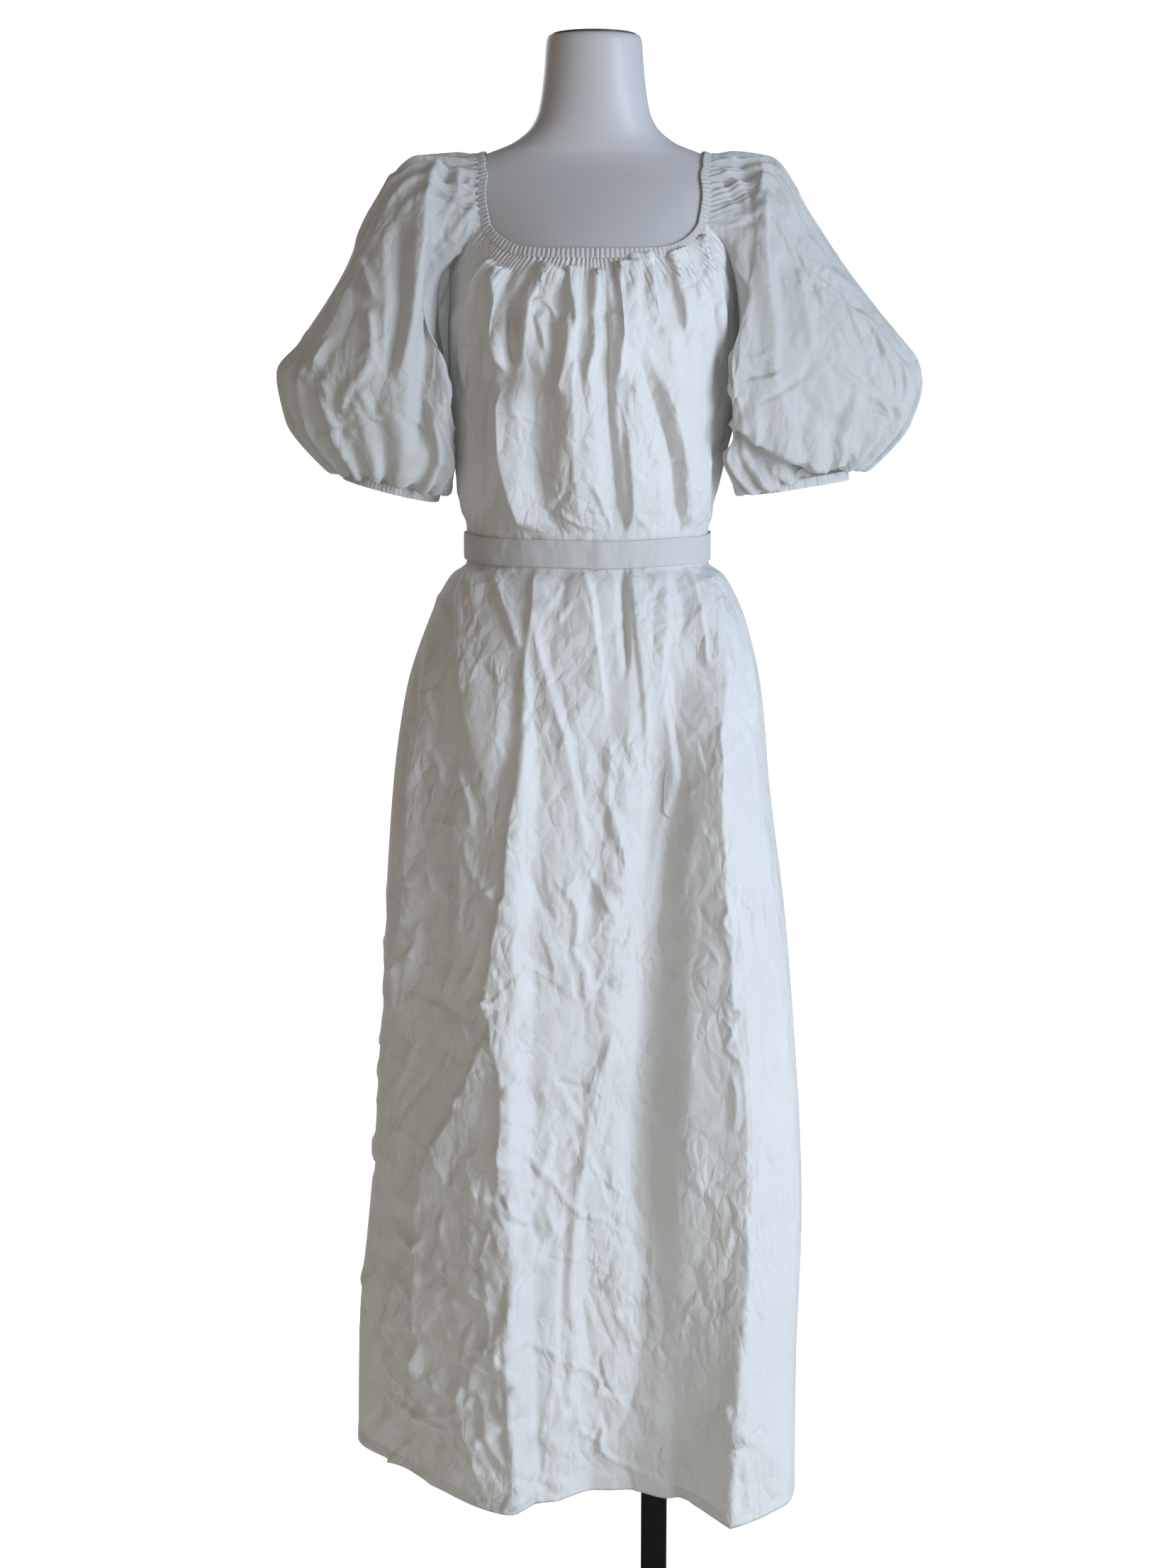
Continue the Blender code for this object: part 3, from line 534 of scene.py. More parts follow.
shellGloss = makeShell()
standPaint = makeDark("standPaint", (0.003, 0.003, 0.003), (0.006, 0.006, 0.006), 0.6, 1500)
capPlastic = makeDark("capPlastic", (0.075, 0.07, 0.075), (0.11, 0.10, 0.105), 0.38, 900)
for nodeName, finish in (("pole", standPaint), ("base_hub", standPaint), ("base_plate", standPaint),
                         ("form_flange", standPaint), ("neck_cap", capPlastic)):
    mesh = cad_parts[nodeName].data
    mesh.materials.clear()
    mesh.materials.append(finish)
print("stage: finishes are made")


# Creases

# Signed distance to a line, and how far along it the nearest point is, from 0 to 1
def lineDistance(spots, line):
    begin, run = line[:-1], np.diff(line, axis=0)
    length = np.linalg.norm(run, axis=1)
    total = np.concatenate([[0], np.cumsum(length)])
    away = spots[:, None, :] - begin[None, :, :]
    t = np.clip((away * run).sum(-1) / length**2, 0, 1)
    gap = away - t[..., None] * run
    distance = np.hypot(gap[..., 0], gap[..., 1])
    which = distance.argmin(axis=1)
    rows = np.arange(len(spots))
    side = run[which, 0] * gap[rows, which, 1] - run[which, 1] * gap[rows, which, 0]
    along = (total[which] + t[rows, which] * length[which]) / total[-1]
    return distance[rows, which] * np.sign(side), along


# A line through its points without corners: a cubic through them at even shares of its length
def easedLine(points):
    points = np.asarray(points, dtype=float)
    if len(points) < 3:
        return points
    steps = np.concatenate([[0], np.cumsum(np.linalg.norm(np.diff(points, axis=0), axis=1))])
    return smoothBetween(steps, points, np.linspace(0, steps[-1], 3 * len(points) - 2))


# Lift of a table of creases over the flat spots: depth times a tent or a bell of the distance to the
# line, each side with its own width, let down over a share of both ends
def creaseLift(spots, table, sharpness=1.0):
    shape = spots.shape[:-1]
    spots = spots.reshape(-1, 2)
    lift = np.zeros(len(spots))
    for depth, leftWidth, rightWidth, sharp, startEase, endEase, *points in table:
        line = easedLine(np.array(points).reshape(-1, 2) * 0.001)
        reach = max(leftWidth, rightWidth) * 0.001
        near = ((spots > line.min(axis=0) - reach) & (spots < line.max(axis=0) + reach)).all(axis=1)
        if not near.any():
            continue
        side, along = lineDistance(spots[near], line)
        share = np.abs(side) / (np.where(side < 0, leftWidth, rightWidth) * 0.001)
        tent = np.clip(1 - share, 0, 1)
        outline = sharp * sharpness * tent ** 1.25 + (1 - sharp * sharpness) * smoothStep(tent)
        ends = smoothStep(along / max(startEase, 1e-3)) * smoothStep((1 - along) / max(endEase, 1e-3))
        lift[near] += depth * 0.001 * outline * ends
    return lift.reshape(shape)


# A seeded table of short creases: where they lie, how they turn and how deep they are
def randomCreases(seed, count, low, high, turns, lengths, widths, depths, sharp=0.8, spread=16):
    rng = np.random.RandomState(seed)
    low, high = np.array(low, dtype=float), np.array(high, dtype=float)
    table = []
    for _ in range(count):
        middle = low + (high - low) * rng.rand(2)
        turn = math.radians(turns[rng.randint(len(turns))] + rng.normal() * spread)
        half = 0.5 * rng.uniform(*lengths)
        way = np.array([math.sin(turn), -math.cos(turn)]) * half
        bend = np.array([-way[1], way[0]]) * rng.normal() * 0.12
        width = rng.uniform(*widths)
        lopsided = rng.uniform(0.12, 0.5)
        sides = (width, width * lopsided) if rng.rand() < 0.5 else (width * lopsided, width)
        depth = rng.uniform(*depths) * (1 if rng.rand() < 0.55 else -1)
        table.append((depth, *sides, sharp, 0.35, 0.35, *(middle - way), *(middle + bend), *(middle + way)))
    return table


# Creases that show in front. Each row: depth in mm, reach to the left and right (or below and above) in
# mm, sharpness, easing at both ends, then the x and z of its points in mm
bodiceCreases = (
    (5, 5, 10, 0.9, 0.05, 0.3, -98, 1514, -111, 1498, -122, 1468, -127, 1436, -128, 1402, -126, 1380),
    (7, 7, 11, 0.9, 0.05, 0.2, -88, 1508, -95, 1487, -95, 1448, -92, 1419, -82, 1401),
    (-5, 12, 12, 0.3, 0.3, 0.3, -79, 1484, -78, 1467, -76, 1446, -79, 1423, -82, 1406),
    (6, 12, 25, 0.6, 0.05, 0.5, -42, 1510, -52, 1488, -61, 1473, -65, 1452, -69, 1423, -76, 1400),
    (11, 22, 28, 0.9, 0.2, 0.02, -88, 1402, -88, 1364, -87, 1329, -78, 1288, -63, 1244),
    (-3, 10, 14, 0.7, 0.2, 0.02, -89, 1318, -101, 1285, -111, 1250),
    (-4.5, 22, 26, 0.2, 0.1, 0.2, -38, 1501, -42, 1467, -42, 1427, -49, 1389, -54, 1336, -57, 1252),
    (3, 5, 5, 0.6, 0.2, 0.2, -60, 1469, -49, 1473, -41, 1467, -35, 1452),
    (3, 6, 8, 0.5, 0.2, 0.3, -55, 1463, -49, 1442, -47, 1421),
    (5, 8, 10, 0.8, 0.15, 0.2, -29, 1463, -24, 1448, -27, 1419, -32, 1391, -24, 1382),
    (2, 5, 5, 0.7, 0.2, 0.3, -19, 1419, -23, 1391),
    (3.5, 3, 14, 1, 0.05, 0.2, -23, 1507, -22, 1483, -19, 1463, -21, 1440),
    (4, 6, 10, 0.8, 0.05, 0.2, 2, 1505, 0, 1462, 0, 1435, -5, 1409, -8, 1390),
    (-5.5, 16, 9, 0.7, 0.2, 0.03, 10, 1495, 11, 1465, 13, 1435, 13, 1402, 14, 1370, 17, 1335, 21, 1300,
     26, 1242),
    (5.5, 34, 32, 0.9, 0.25, 0.02, -24, 1425, -22, 1395, -21, 1356, -20, 1319, -15, 1280, -8, 1246),
    (6, 6, 22, 1, 0.05, 0.2, 25, 1513, 25, 1473, 27, 1444, 23, 1419, 23, 1389),
    (3, 8, 10, 0.3, 0.05, 0.4, 36, 1526, 39, 1490, 36, 1467),
    (4.5, 18, 6, 0.5, 0.05, 0.3, 51, 1528, 56, 1499, 61, 1467, 64, 1452),
    (-4, 8, 14, 0.2, 0.1, 0.3, 56, 1513, 68, 1484, 75, 1461, 82, 1442),
    (4.5, 6, 14, 0.5, 0.05, 0.2, 70, 1532, 81, 1495, 87, 1467, 89, 1438),
    (3.5, 10, 10, 0.5, 0.05, 0.3, 80, 1534, 91, 1506, 104, 1487, 115, 1472, 123, 1443),
    (4, 10, 5, 0.5, 0.05, 0.3, 104, 1540, 113, 1506, 123, 1481, 126, 1443, 125, 1402),
    (-8, 18, 9, 0.7, 0.22, 0.02, 38, 1435, 48, 1412, 58, 1387, 67, 1359, 76, 1333, 83, 1302, 87, 1243),
    (1.5, 20, 8, 0.5, 0.2, 0.02, 32, 1444, 45, 1419, 56, 1389, 72, 1357, 79, 1325, 85, 1285, 89, 1243),
    (2.5, 8, 4, 0.8, 0.3, 0.3, 49, 1406, 44, 1394, 38, 1381),
    (5.5, 8, 32, 0.8, 0.3, 0.02, 58, 1419, 70, 1389, 82, 1346, 89, 1302, 91, 1243),
    (2.5, 6, 4, 0.9, 0.2, 0.02, -2, 1300, 8, 1280, 22, 1241),
    (4, 6, 24, 0.8, 0.3, 0.02, 29, 1377, 33, 1341, 36, 1304, 38, 1275, 30, 1241),
    (1.5, 5, 8, 1, 0.2, 0.05, 38, 1273, 61, 1241),
    (1.6, 6, 6, 1, 0.1, 0.05, -50, 1278, -21, 1263, 13, 1245),
    (-1.5, 5, 5, 0.8, 0.3, 0.3, -21, 1297, -34, 1280, -48, 1262),
    (3, 12, 12, 0.2, 0.1, 0.1, -133, 1475, -137, 1432, -135, 1367, -132, 1301, -128, 1246),
    (-3, 14, 14, 0.2, 0.2, 0.1, -117, 1419, -113, 1368, -116, 1324, -111, 1257),
    (3, 12, 12, 0.2, 0.3, 0.1, 110, 1346, 109, 1302, 115, 1246),
)
upperSkirtCreases = (
    (5, 8, 28, 0.6, 0.02, 0.3, -125, 1209, -135, 1180, -135, 1147, -131, 1100, -121, 1042, -105, 1001),
    (5, 6, 12, 0.9, 0.02, 0.2, -102, 1208, -91, 1183, -79, 1151, -69, 1131),
    (-5, 14, 16, 0.3, 0.2, 0.3, -87, 1139, -81, 1095, -87, 1039, -99, 1002, -112, 970),
    (6, 6, 25, 1, 0.02, 0, -59, 1215, -60, 1184, -65, 1149, -69, 1122, -70, 1087, -71, 1051, -74,
     1009, -83, 967, -85, 930, -88, 900, -95, 871, -103, 824, -110, 780),
    (4, 12, 8, 0.8, 0.1, 0.2, -61, 1169, -53, 1134, -44, 1096, -33, 1063, -21, 1008, -11, 950, -8, 921),
    (2, 4, 6, 0.8, 0.2, 0.3, -51, 1210, -38, 1190),
    (2.5, 6, 4, 0.8, 0.2, 0.3, -31, 1201, -41, 1181, -52, 1169),
    (2, 5, 4, 0.8, 0.2, 0.3, -18, 1185, -38, 1161),
    (7, 32, 6, 0.9, 0.02, 0.3, -11, 1211, -2, 1182, 1, 1152, 6, 1110, 10, 1075, 7, 1059),
    (-7, 10, 5, 0.6, 0.01, 0.4, 28, 1213, 30, 1170, 32, 1131, 27, 1095),
    (4, 6, 18, 0.4, 0.02, 0.3, 37, 1212, 41, 1170, 48, 1110, 53, 1039, 48, 960),
    (4, 14, 8, 0.3, 0.02, 0.2, 70, 1212, 72, 1169, 67, 1104, 76, 1019, 62, 947, 54, 835),
    (4, 10, 5, 0.8, 0.02, 0.3, 94, 1214, 104, 1167, 109, 1137, 112, 1107),
    (-3, 8, 8, 0.3, 0.1, 0.3, 78, 1209, 90, 1168, 84, 1139),
    (8, 40, 12, 0.9, 0.02, 0, 117, 1206, 127, 1151, 131, 1115, 129, 1083, 124, 1050, 128, 1020,
     127, 987, 130, 942, 132, 896, 138, 856, 138, 804, 140, 778),
    (-9, 46, 50, 0.1, 0.15, 0.2, 82, 1170, 80, 1060, 72, 960, 60, 860, 50, 740, 42, 620, 38, 480),
    (8, 10, 34, 0.5, 0.2, 0.2, -176, 1075, -182, 1000, -184, 930, -190, 860, -200, 780, -206, 700),
    (3, 10, 26, 0.5, 0.2, 0.2, -135, 1010, -138, 940, -142, 880),
    (4, 14, 8, 1, 0.2, 0.2, 7, 1062, 17, 1035, 13, 995, 20, 968, 30, 927, 32, 896),
    (3, 8, 6, 1, 0.2, 0.2, 32, 1053, 47, 1009, 49, 960),
    (-3, 8, 8, 0.7, 0.3, 0.3, 13, 995, 10, 965, 23, 933, 24, 902),
    (4, 7, 8, 1, 0.15, 0.1, -14, 919, -26, 895, -16, 872, -20, 838, -8, 809, -8, 780),
    (2.5, 6, 6, 1, 0.2, 0.3, -20, 838, 4, 852, 31, 865),
    (2, 5, 5, 1, 0.2, 0.3, 1, 852, 38, 847),
    (2, 5, 4, 1, 0.2, 0.3, 20, 803, 51, 819),
    (2, 5, 5, 1, 0.2, 0.3, 7, 949, 32, 938, 50, 941),
    (2, 5, 5, 1, 0.2, 0.3, 17, 909, 35, 893),
    (2.5, 6, 6, 1, 0.2, 0.2, -180, 952, -147, 958, -115, 952),
    (2.5, 5, 6, 1, 0.2, 0.3, -164, 1093, -149, 1080, -144, 1063),
    (3, 8, 5, 1, 0.2, 0.3, -170, 1041, -153, 1010, -152, 991),
    (3, 7, 7, 1, 0.2, 0.2, -138, 1018, -121, 972, -121, 954),
    (2.5, 6, 6, 1, 0.2, 0.2, -184, 919, -164, 905, -160, 884),
    (2, 5, 5, 1, 0.2, 0.3, -191, 892, -162, 883),
    (3, 8, 6, 1, 0.2, 0.2, -199, 842, -185, 820, -161, 802),
    (3, 7, 5, 1, 0.2, 0.2, -109, 891, -93, 911, -80, 952),
    (3, 6, 8, 1, 0.2, 0.2, -131, 946, -118, 908, -89, 884),
    (-3.5, 10, 6, 0.8, 0.2, 0.2, -69, 945, -57, 898, -35, 861),
    (2.5, 5, 5, 1, 0.3, 0.2, -41, 910, -26, 894),
    (5, 10, 14, 0.5, 0.1, 0, -165, 1147, -170, 1095, -175, 1033, -186, 950, -190, 880, -201, 812,
     -207, 752),
    (-3, 10, 10, 0.4, 0.3, 0.3, -154, 888, -148, 859, -161, 792),
    (2.5, 25, 12, 0.2, 0.3, 0.3, 112, 987, 93, 926, 78, 865),
    (1.5, 5, 5, 1, 0.3, 0.3, 112, 1011, 87, 988),
    (0.8, 3, 3, 1, 0.1, 0.1, 53, 1088, 81, 1088, 115, 1083),
    (3, 5, 5, 1, 0.2, 0.2, 130, 893, 134, 881, 129, 870, 138, 853),
    (2, 6, 6, 1, 0.3, 0.3, 109, 850, 121, 836, 127, 825),
    (2.5, 6, 6, 1, 0.2, 0.3, 136, 856, 146, 849, 143, 825),
)
lowerSkirtCreases = (
    (6, 5, 22, 1, 0, 0.05, -107, 789, -102, 750, -92, 707, -94, 652, -96, 599),
    (6, 5, 18, 1, 0.05, 0, -62, 552, -79, 524, -87, 478, -89, 411, -87, 354, -80, 261),
    (4, 7, 7, 1, 0.1, 0.1, -97, 601, -101, 578, -86, 572, -62, 552),
    (3, 5, 5, 1, 0.2, 0.2, -95, 594, -76, 562, -60, 550),
    (3, 6, 6, 1, 0.2, 0.2, -101, 578, -86, 546, -79, 526),
    (7, 6, 22, 1, 0.1, 0.2, -105, 756, -132, 687, -161, 615, -178, 552),
    (3, 6, 5, 1, 0.2, 0.2, -137, 760, -114, 729),
    (3.5, 10, 5, 1, 0.2, 0.2, -176, 739, -189, 706, -210, 655),
    (-2.5, 6, 6, 0.8, 0.2, 0.2, -161, 708, -173, 685, -207, 633),
    (3, 8, 10, 0.5, 0.3, 0.3, -210, 634, -206, 601, -205, 533),
    (3, 6, 10, 0.8, 0.3, 0.3, -173, 636, -188, 578, -190, 531),
    (3.5, 6, 6, 1, 0.2, 0.1, -212, 530, -202, 508, -169, 502),
    (4, 6, 9, 1, 0.1, 0.2, -169, 502, -185, 443, -190, 419, -170, 420, -187, 362, -205, 310),
    (4, 5, 8, 1, 0.2, 0.2, -100, 569, -120, 509),
    (2.5, 5, 5, 1, 0.1, 0.3, -120, 507, -98, 479),
    (-3, 8, 8, 0.5, 0.3, 0.3, -166, 497, -127, 508, -105, 492),
    (3, 6, 8, 1, 0.2, 0.2, -115, 464, -131, 421, -139, 376),
    (3.5, 6, 6, 0.8, 0.2, 0.2, -201, 313, -144, 347, -113, 387),
    (3, 6, 8, 1, 0.2, 0.2, -151, 440, -139, 386),
    (4, 6, 10, 1, 0.1, 0.1, -117, 384, -109, 332, -87, 299),
    (2.5, 6, 6, 1, 0.2, 0.2, -175, 417, -177, 385, -155, 361),
    (2.5, 6, 6, 1, 0.2, 0.2, -178, 318, -156, 299, -140, 279),
    (3, 6, 8, 1, 0.2, 0.1, -132, 333, -121, 298, -116, 269),
    (5, 6, 16, 1, 0.1, 0.1, -16, 652, -18, 585, -22, 525, -26, 484, -23, 437, -27, 380, -30, 338),
    (-3, 8, 5, 0.5, 0.2, 0.2, -25, 586, -29, 527, -32, 458, -36, 382),
    (-4, 5, 5, 0.8, 0.2, 0.2, -40, 704, -25, 697, -3, 691),
    (2.5, 4, 4, 1, 0.2, 0.2, -54, 707, -40, 704, -18, 705),
    (5, 8, 20, 0.9, 0.1, 0.1, 21, 755, 2, 692, -7, 649, -15, 584),
    (3.5, 6, 5, 1, 0.2, 0.1, -49, 612, -28, 576, -14, 561, 17, 553),
    (3, 6, 5, 1, 0.2, 0.2, -51, 577, -38, 537),
    (1.6, 4, 4, 1, 0.1, 0.1, -44, 520, -18, 514, 12, 514),
    (2.5, 5, 5, 1, 0.2, 0.2, -82, 660, -76, 628, -81, 608, -69, 589),
    (3, 8, 6, 1, 0.2, 0.2, -40, 648, -54, 603, -69, 559),
    (3, 7, 5, 1, 0.1, 0.2, -39, 386, -32, 337),
    (2.5, 6, 4, 1, 0.1, 0.2, -41, 382, -51, 349),
    (2, 4, 4, 1, 0.2, 0.2, 12, 390, 1, 361),
    (3, 8, 8, 0.6, 0.2, 0.1, -62, 372, -70, 318, -77, 276),
    (3, 5, 8, 1, 0.2, 0.2, 18, 459, 33, 433, 41, 399),
    (2.5, 6, 4, 1, 0.2, 0.2, 33, 452, 45, 417),
    (4, 6, 5, 1, 0.1, 0.2, 11, 332, 7, 306, 48, 278, 73, 275),
    (2.5, 5, 5, 1, 0.2, 0.2, 7, 334, -7, 315),
    (3, 7, 5, 1, 0.2, 0.2, 9, 306, 4, 298, -11, 280),
    (3, 6, 6, 1, 0.2, 0.1, 74, 296, 92, 291, 108, 277),
    (-1.2, 2.5, 2.5, 1, 0.1, 0.1, 17, 568, 51, 569, 82, 573),
    (1.5, 8, 12, 0.5, 0.3, 0.3, 40, 670, 70, 629),
    (1, 4, 4, 1, 0.3, 0.3, 83, 607, 87, 546),
    (0.8, 3, 3, 1, 0.2, 0.2, 87, 554, 140, 562),
    (0.8, 3, 3, 1, 0.2, 0.2, 81, 423, 126, 437),
    (3.5, 26, 8, 1, 0.02, 0.05, 140, 779, 142, 750, 150, 715, 154, 649, 153, 578, 156, 541, 154, 469,
     151, 405, 154, 373),
    (4, 14, 14, 1, 0.05, 0, 154, 373, 146, 346, 137, 288, 134, 259),
    (9, 8, 34, 0.5, 0.15, 0.15, -176, 690, -178, 600, -180, 500, -180, 400, -176, 320),
    (5, 8, 6, 1, 0.05, 0.4, 145, 346, 130, 384),
    (5, 8, 8, 1, 0.05, 0.4, 145, 346, 172, 358),
    (5, 8, 8, 1, 0.05, 0.4, 145, 346, 180, 330),
    (5, 8, 8, 1, 0.05, 0.4, 145, 346, 133, 318),
    (2.5, 5, 5, 1, 0.05, 0.4, 145, 346, 131, 355),
    (5, 14, 10, 1, 0.2, 0.1, 168, 336, 184, 300, 185, 269),
    (4, 8, 10, 1, 0.2, 0.2, 150, 330, 155, 287, 158, 265),
    (3, 5, 5, 1, 0.2, 0.2, 130, 773, 139, 756, 129, 743),
    (3, 5, 5, 1, 0.2, 0.2, 129, 743, 150, 725),
    (2.5, 8, 6, 1, 0.2, 0.2, 136, 723, 143, 687, 140, 651),
    (1.6, 6, 8, 0.8, 0.3, 0.3, 147, 593, 135, 543, 119, 491),
    (2, 20, 14, 0.2, 0.3, 0.3, 116, 425, 99, 375),
)
rightSleeveCreases = (
    (7, 16, 5, 0.8, 0.1, 0.02, 170, 1582, 168, 1538, 171, 1484, 177, 1446, 175, 1406),
    (7, 25, 6, 1, 0.05, 0.05, 175, 1406, 186, 1373, 207, 1317),
    (-4, 5, 5, 0.5, 0.1, 0.1, 146, 1399, 158, 1403, 175, 1406),
    (2, 6, 6, 0.5, 0.2, 0.2, 148, 1422, 158, 1420, 172, 1424),
    (-5, 10, 16, 0.2, 0.2, 0.3, 182, 1523, 186, 1470, 190, 1421),
    (4, 5, 14, 0.9, 0.1, 0.2, 201, 1509, 204, 1475, 212, 1433, 209, 1420),
    (-6, 12, 12, 0.2, 0.3, 0.3, 138, 1613, 149, 1603, 158, 1582),
    (-4, 7, 7, 0.3, 0.2, 0.3, 127, 1596, 136, 1578, 151, 1560),
    (3, 5, 5, 0.7, 0.1, 0.3, 126, 1601, 139, 1593, 154, 1570),
    (2.5, 5, 5, 0.7, 0.1, 0.3, 135, 1614, 149, 1601, 162, 1598),
    (5, 4, 14, 0.7, 0.3, 0.3, 167, 1616, 166, 1593, 161, 1577, 154, 1560),
    (4, 8, 6, 1, 0.2, 0.1, 224, 1431, 236, 1414, 257, 1397, 289, 1377, 311, 1369),
    (3.5, 6, 6, 1, 0.2, 0.1, 267, 1412, 289, 1386, 311, 1369),
    (4, 12, 8, 0.8, 0.2, 0.1, 252, 1470, 275, 1453, 300, 1417, 316, 1406),
    (3, 6, 8, 0.8, 0.2, 0.2, 222, 1509, 248, 1495, 265, 1481),
    (3, 5, 5, 1, 0.2, 0.2, 283, 1382, 298, 1357),
    (-12, 24, 2, 0.6, 0.1, 0.15, 133, 1352, 151, 1340, 178, 1322, 206, 1310, 224, 1304, 243, 1312,
     262, 1322),
    (12, 3, 45, 0.9, 0.1, 0.15, 133, 1357, 151, 1345, 178, 1327, 206, 1315, 224, 1309, 243, 1317,
     262, 1327),
    (3, 4, 4, 0.8, 0.1, 0.1, 203, 1314, 201, 1284),
    (3, 4, 4, 0.8, 0.1, 0.1, 217, 1307, 221, 1284),
    (3, 4, 4, 0.8, 0.1, 0.1, 233, 1309, 237, 1286),
    (2.5, 4, 4, 0.8, 0.1, 0.1, 158, 1323, 168, 1291),
    (2.5, 4, 4, 0.8, 0.1, 0.1, 176, 1315, 185, 1287),
    (3, 6, 6, 0.9, 0.2, 0.1, 250, 1340, 265, 1324),
    (3, 6, 6, 0.9, 0.2, 0.1, 273, 1345, 289, 1336),
    (3, 7, 7, 0.8, 0.3, 0.1, 239, 1350, 257, 1314),
    (2.5, 5, 5, 0.8, 0.3, 0.1, 301, 1382, 311, 1362),
    (2.5, 8, 8, 0.7, 0.3, 0.3, 216, 1431, 226, 1407, 238, 1373, 247, 1353),
    (-2, 8, 8, 0.5, 0.3, 0.3, 184, 1397, 205, 1382, 228, 1358),
    (2.5, 10, 12, 0.3, 0.3, 0.3, 135, 1538, 147, 1473, 151, 1422),
)
leftSleeveCreases = (
    (-7, 9, 9, 0, 0.4, 0.4, -144, 1609, -145, 1597, -143, 1583),
    (4, 6, 6, 0.5, 0.2, 0.2, -155, 1607, -161, 1589, -165, 1568),
    (4, 6, 5, 0.6, 0.1, 0.2, -133, 1602, -135, 1582, -140, 1559),
    (8, 14, 12, 0.5, 0.1, 0.2, -150, 1617, -163, 1581, -166, 1553, -168, 1522, -172, 1490, -177,
     1456, -184, 1425, -199, 1396, -207, 1387),
    (-3, 5, 10, 0.8, 0.1, 0.3, -133, 1579, -143, 1549, -151, 1517, -159, 1481, -167, 1456, -174,
     1408, -179, 1359),
    (-16, 14, 30, 0.4, 0.2, 0.1, -146, 1560, -153, 1510, -159, 1460, -166, 1410, -172, 1360, -176, 1320),
    (-8, 16, 18, 0.1, 0.2, 0.2, -189, 1566, -191, 1517, -188, 1468, -196, 1420, -207, 1388),
    (5, 12, 8, 0.8, 0.1, 0.2, -194, 1600, -206, 1575, -221, 1553, -235, 1521),
    (3, 8, 8, 0.8, 0.2, 0.2, -231, 1521, -219, 1490, -211, 1471),
    (6, 14, 6, 0.9, 0.1, 0.1, -218, 1471, -215, 1432, -221, 1408, -239, 1388, -254, 1352),
    (5, 8, 14, 0.9, 0.1, 0.2, -237, 1491, -257, 1449, -269, 1432, -281, 1403),
    (3, 5, 5, 1, 0.2, 0.2, -256, 1440, -267, 1425, -280, 1403),
    (3.5, 6, 6, 1, 0.2, 0.05, -276, 1388, -263, 1368, -254, 1351),
    (2.5, 5, 5, 1, 0.2, 0.2, -278, 1400, -265, 1393, -258, 1374),
    (3, 5, 5, 1, 0.2, 0.05, -232, 1381, -235, 1371, -254, 1351),
    (3, 5, 4, 1, 0.2, 0.1, -278, 1348, -269, 1343, -254, 1350),
    (3, 6, 5, 1, 0.2, 0.1, -232, 1393, -222, 1374, -214, 1356),
    (2.5, 5, 5, 1, 0.2, 0.1, -207, 1374, -214, 1356),
    (3, 6, 8, 0.9, 0.2, 0.1, -241, 1354, -249, 1321),
    (3, 5, 5, 0.9, 0.2, 0.1, -255, 1346, -261, 1323),
    (1.5, 5, 5, 0.9, 0.2, 0.2, -224, 1308, -209, 1303, -171, 1303),
    (2, 5, 5, 0.9, 0.2, 0.1, -193, 1311, -203, 1293),
    (3, 4, 4, 0.8, 0.05, 0.3, -121, 1592, -131, 1582),
    (3, 4, 4, 0.8, 0.05, 0.3, -118, 1577, -133, 1571),
    (4, 5, 5, 0.8, 0.05, 0.3, -116, 1568, -132, 1547, -140, 1530),
    (4, 5, 6, 0.8, 0.05, 0.3, -119, 1563, -128, 1534, -145, 1498),
    (2.5, 4, 4, 0.8, 0.1, 0.3, -131, 1582, -133, 1554),
    (3, 4, 5, 0.8, 0.05, 0.3, -115, 1543, -124, 1526, -139, 1518, -141, 1499),
)


# Lines of the dress

# Half of the neckline, from the centre front to the centre back: angle about the form and height
neckLine = (
    (0, 1.5175), (15, 1.5177), (28, 1.5200), (38, 1.5290), (45, 1.5480), (46, 1.5700),
    (45.5, 1.5900), (52, 1.6060), (72, 1.6160), (96, 1.6185), (120, 1.6130), (136, 1.6020),
    (147, 1.5900), (163, 1.5820), (180, 1.5800),
)
frontCorner, backCorner = 4, 12
# Height, left seam and right seam, in degrees from the centre front
sideSeams = (
    (0.255, 90, 68), (0.400, 90, 64), (0.530, 90, 59), (0.680, 90, 56), (0.840, 90, 57),
    (0.980, 90, 59), (1.080, 90, 63), (1.150, 90, 70), (1.213, 90, 82), (1.290, 90, 88),
    (1.375, 90, 90),
)
raglanSteps = (0, 0.07, 0.17, 0.34, 0.56, 0.79, 1.0)
raglanSpread = ((0, 0.14, 0.28, 0.57, 0.80, 1.0), (0, 0.33, 0.56, 0.78, 0.90, 1.0))
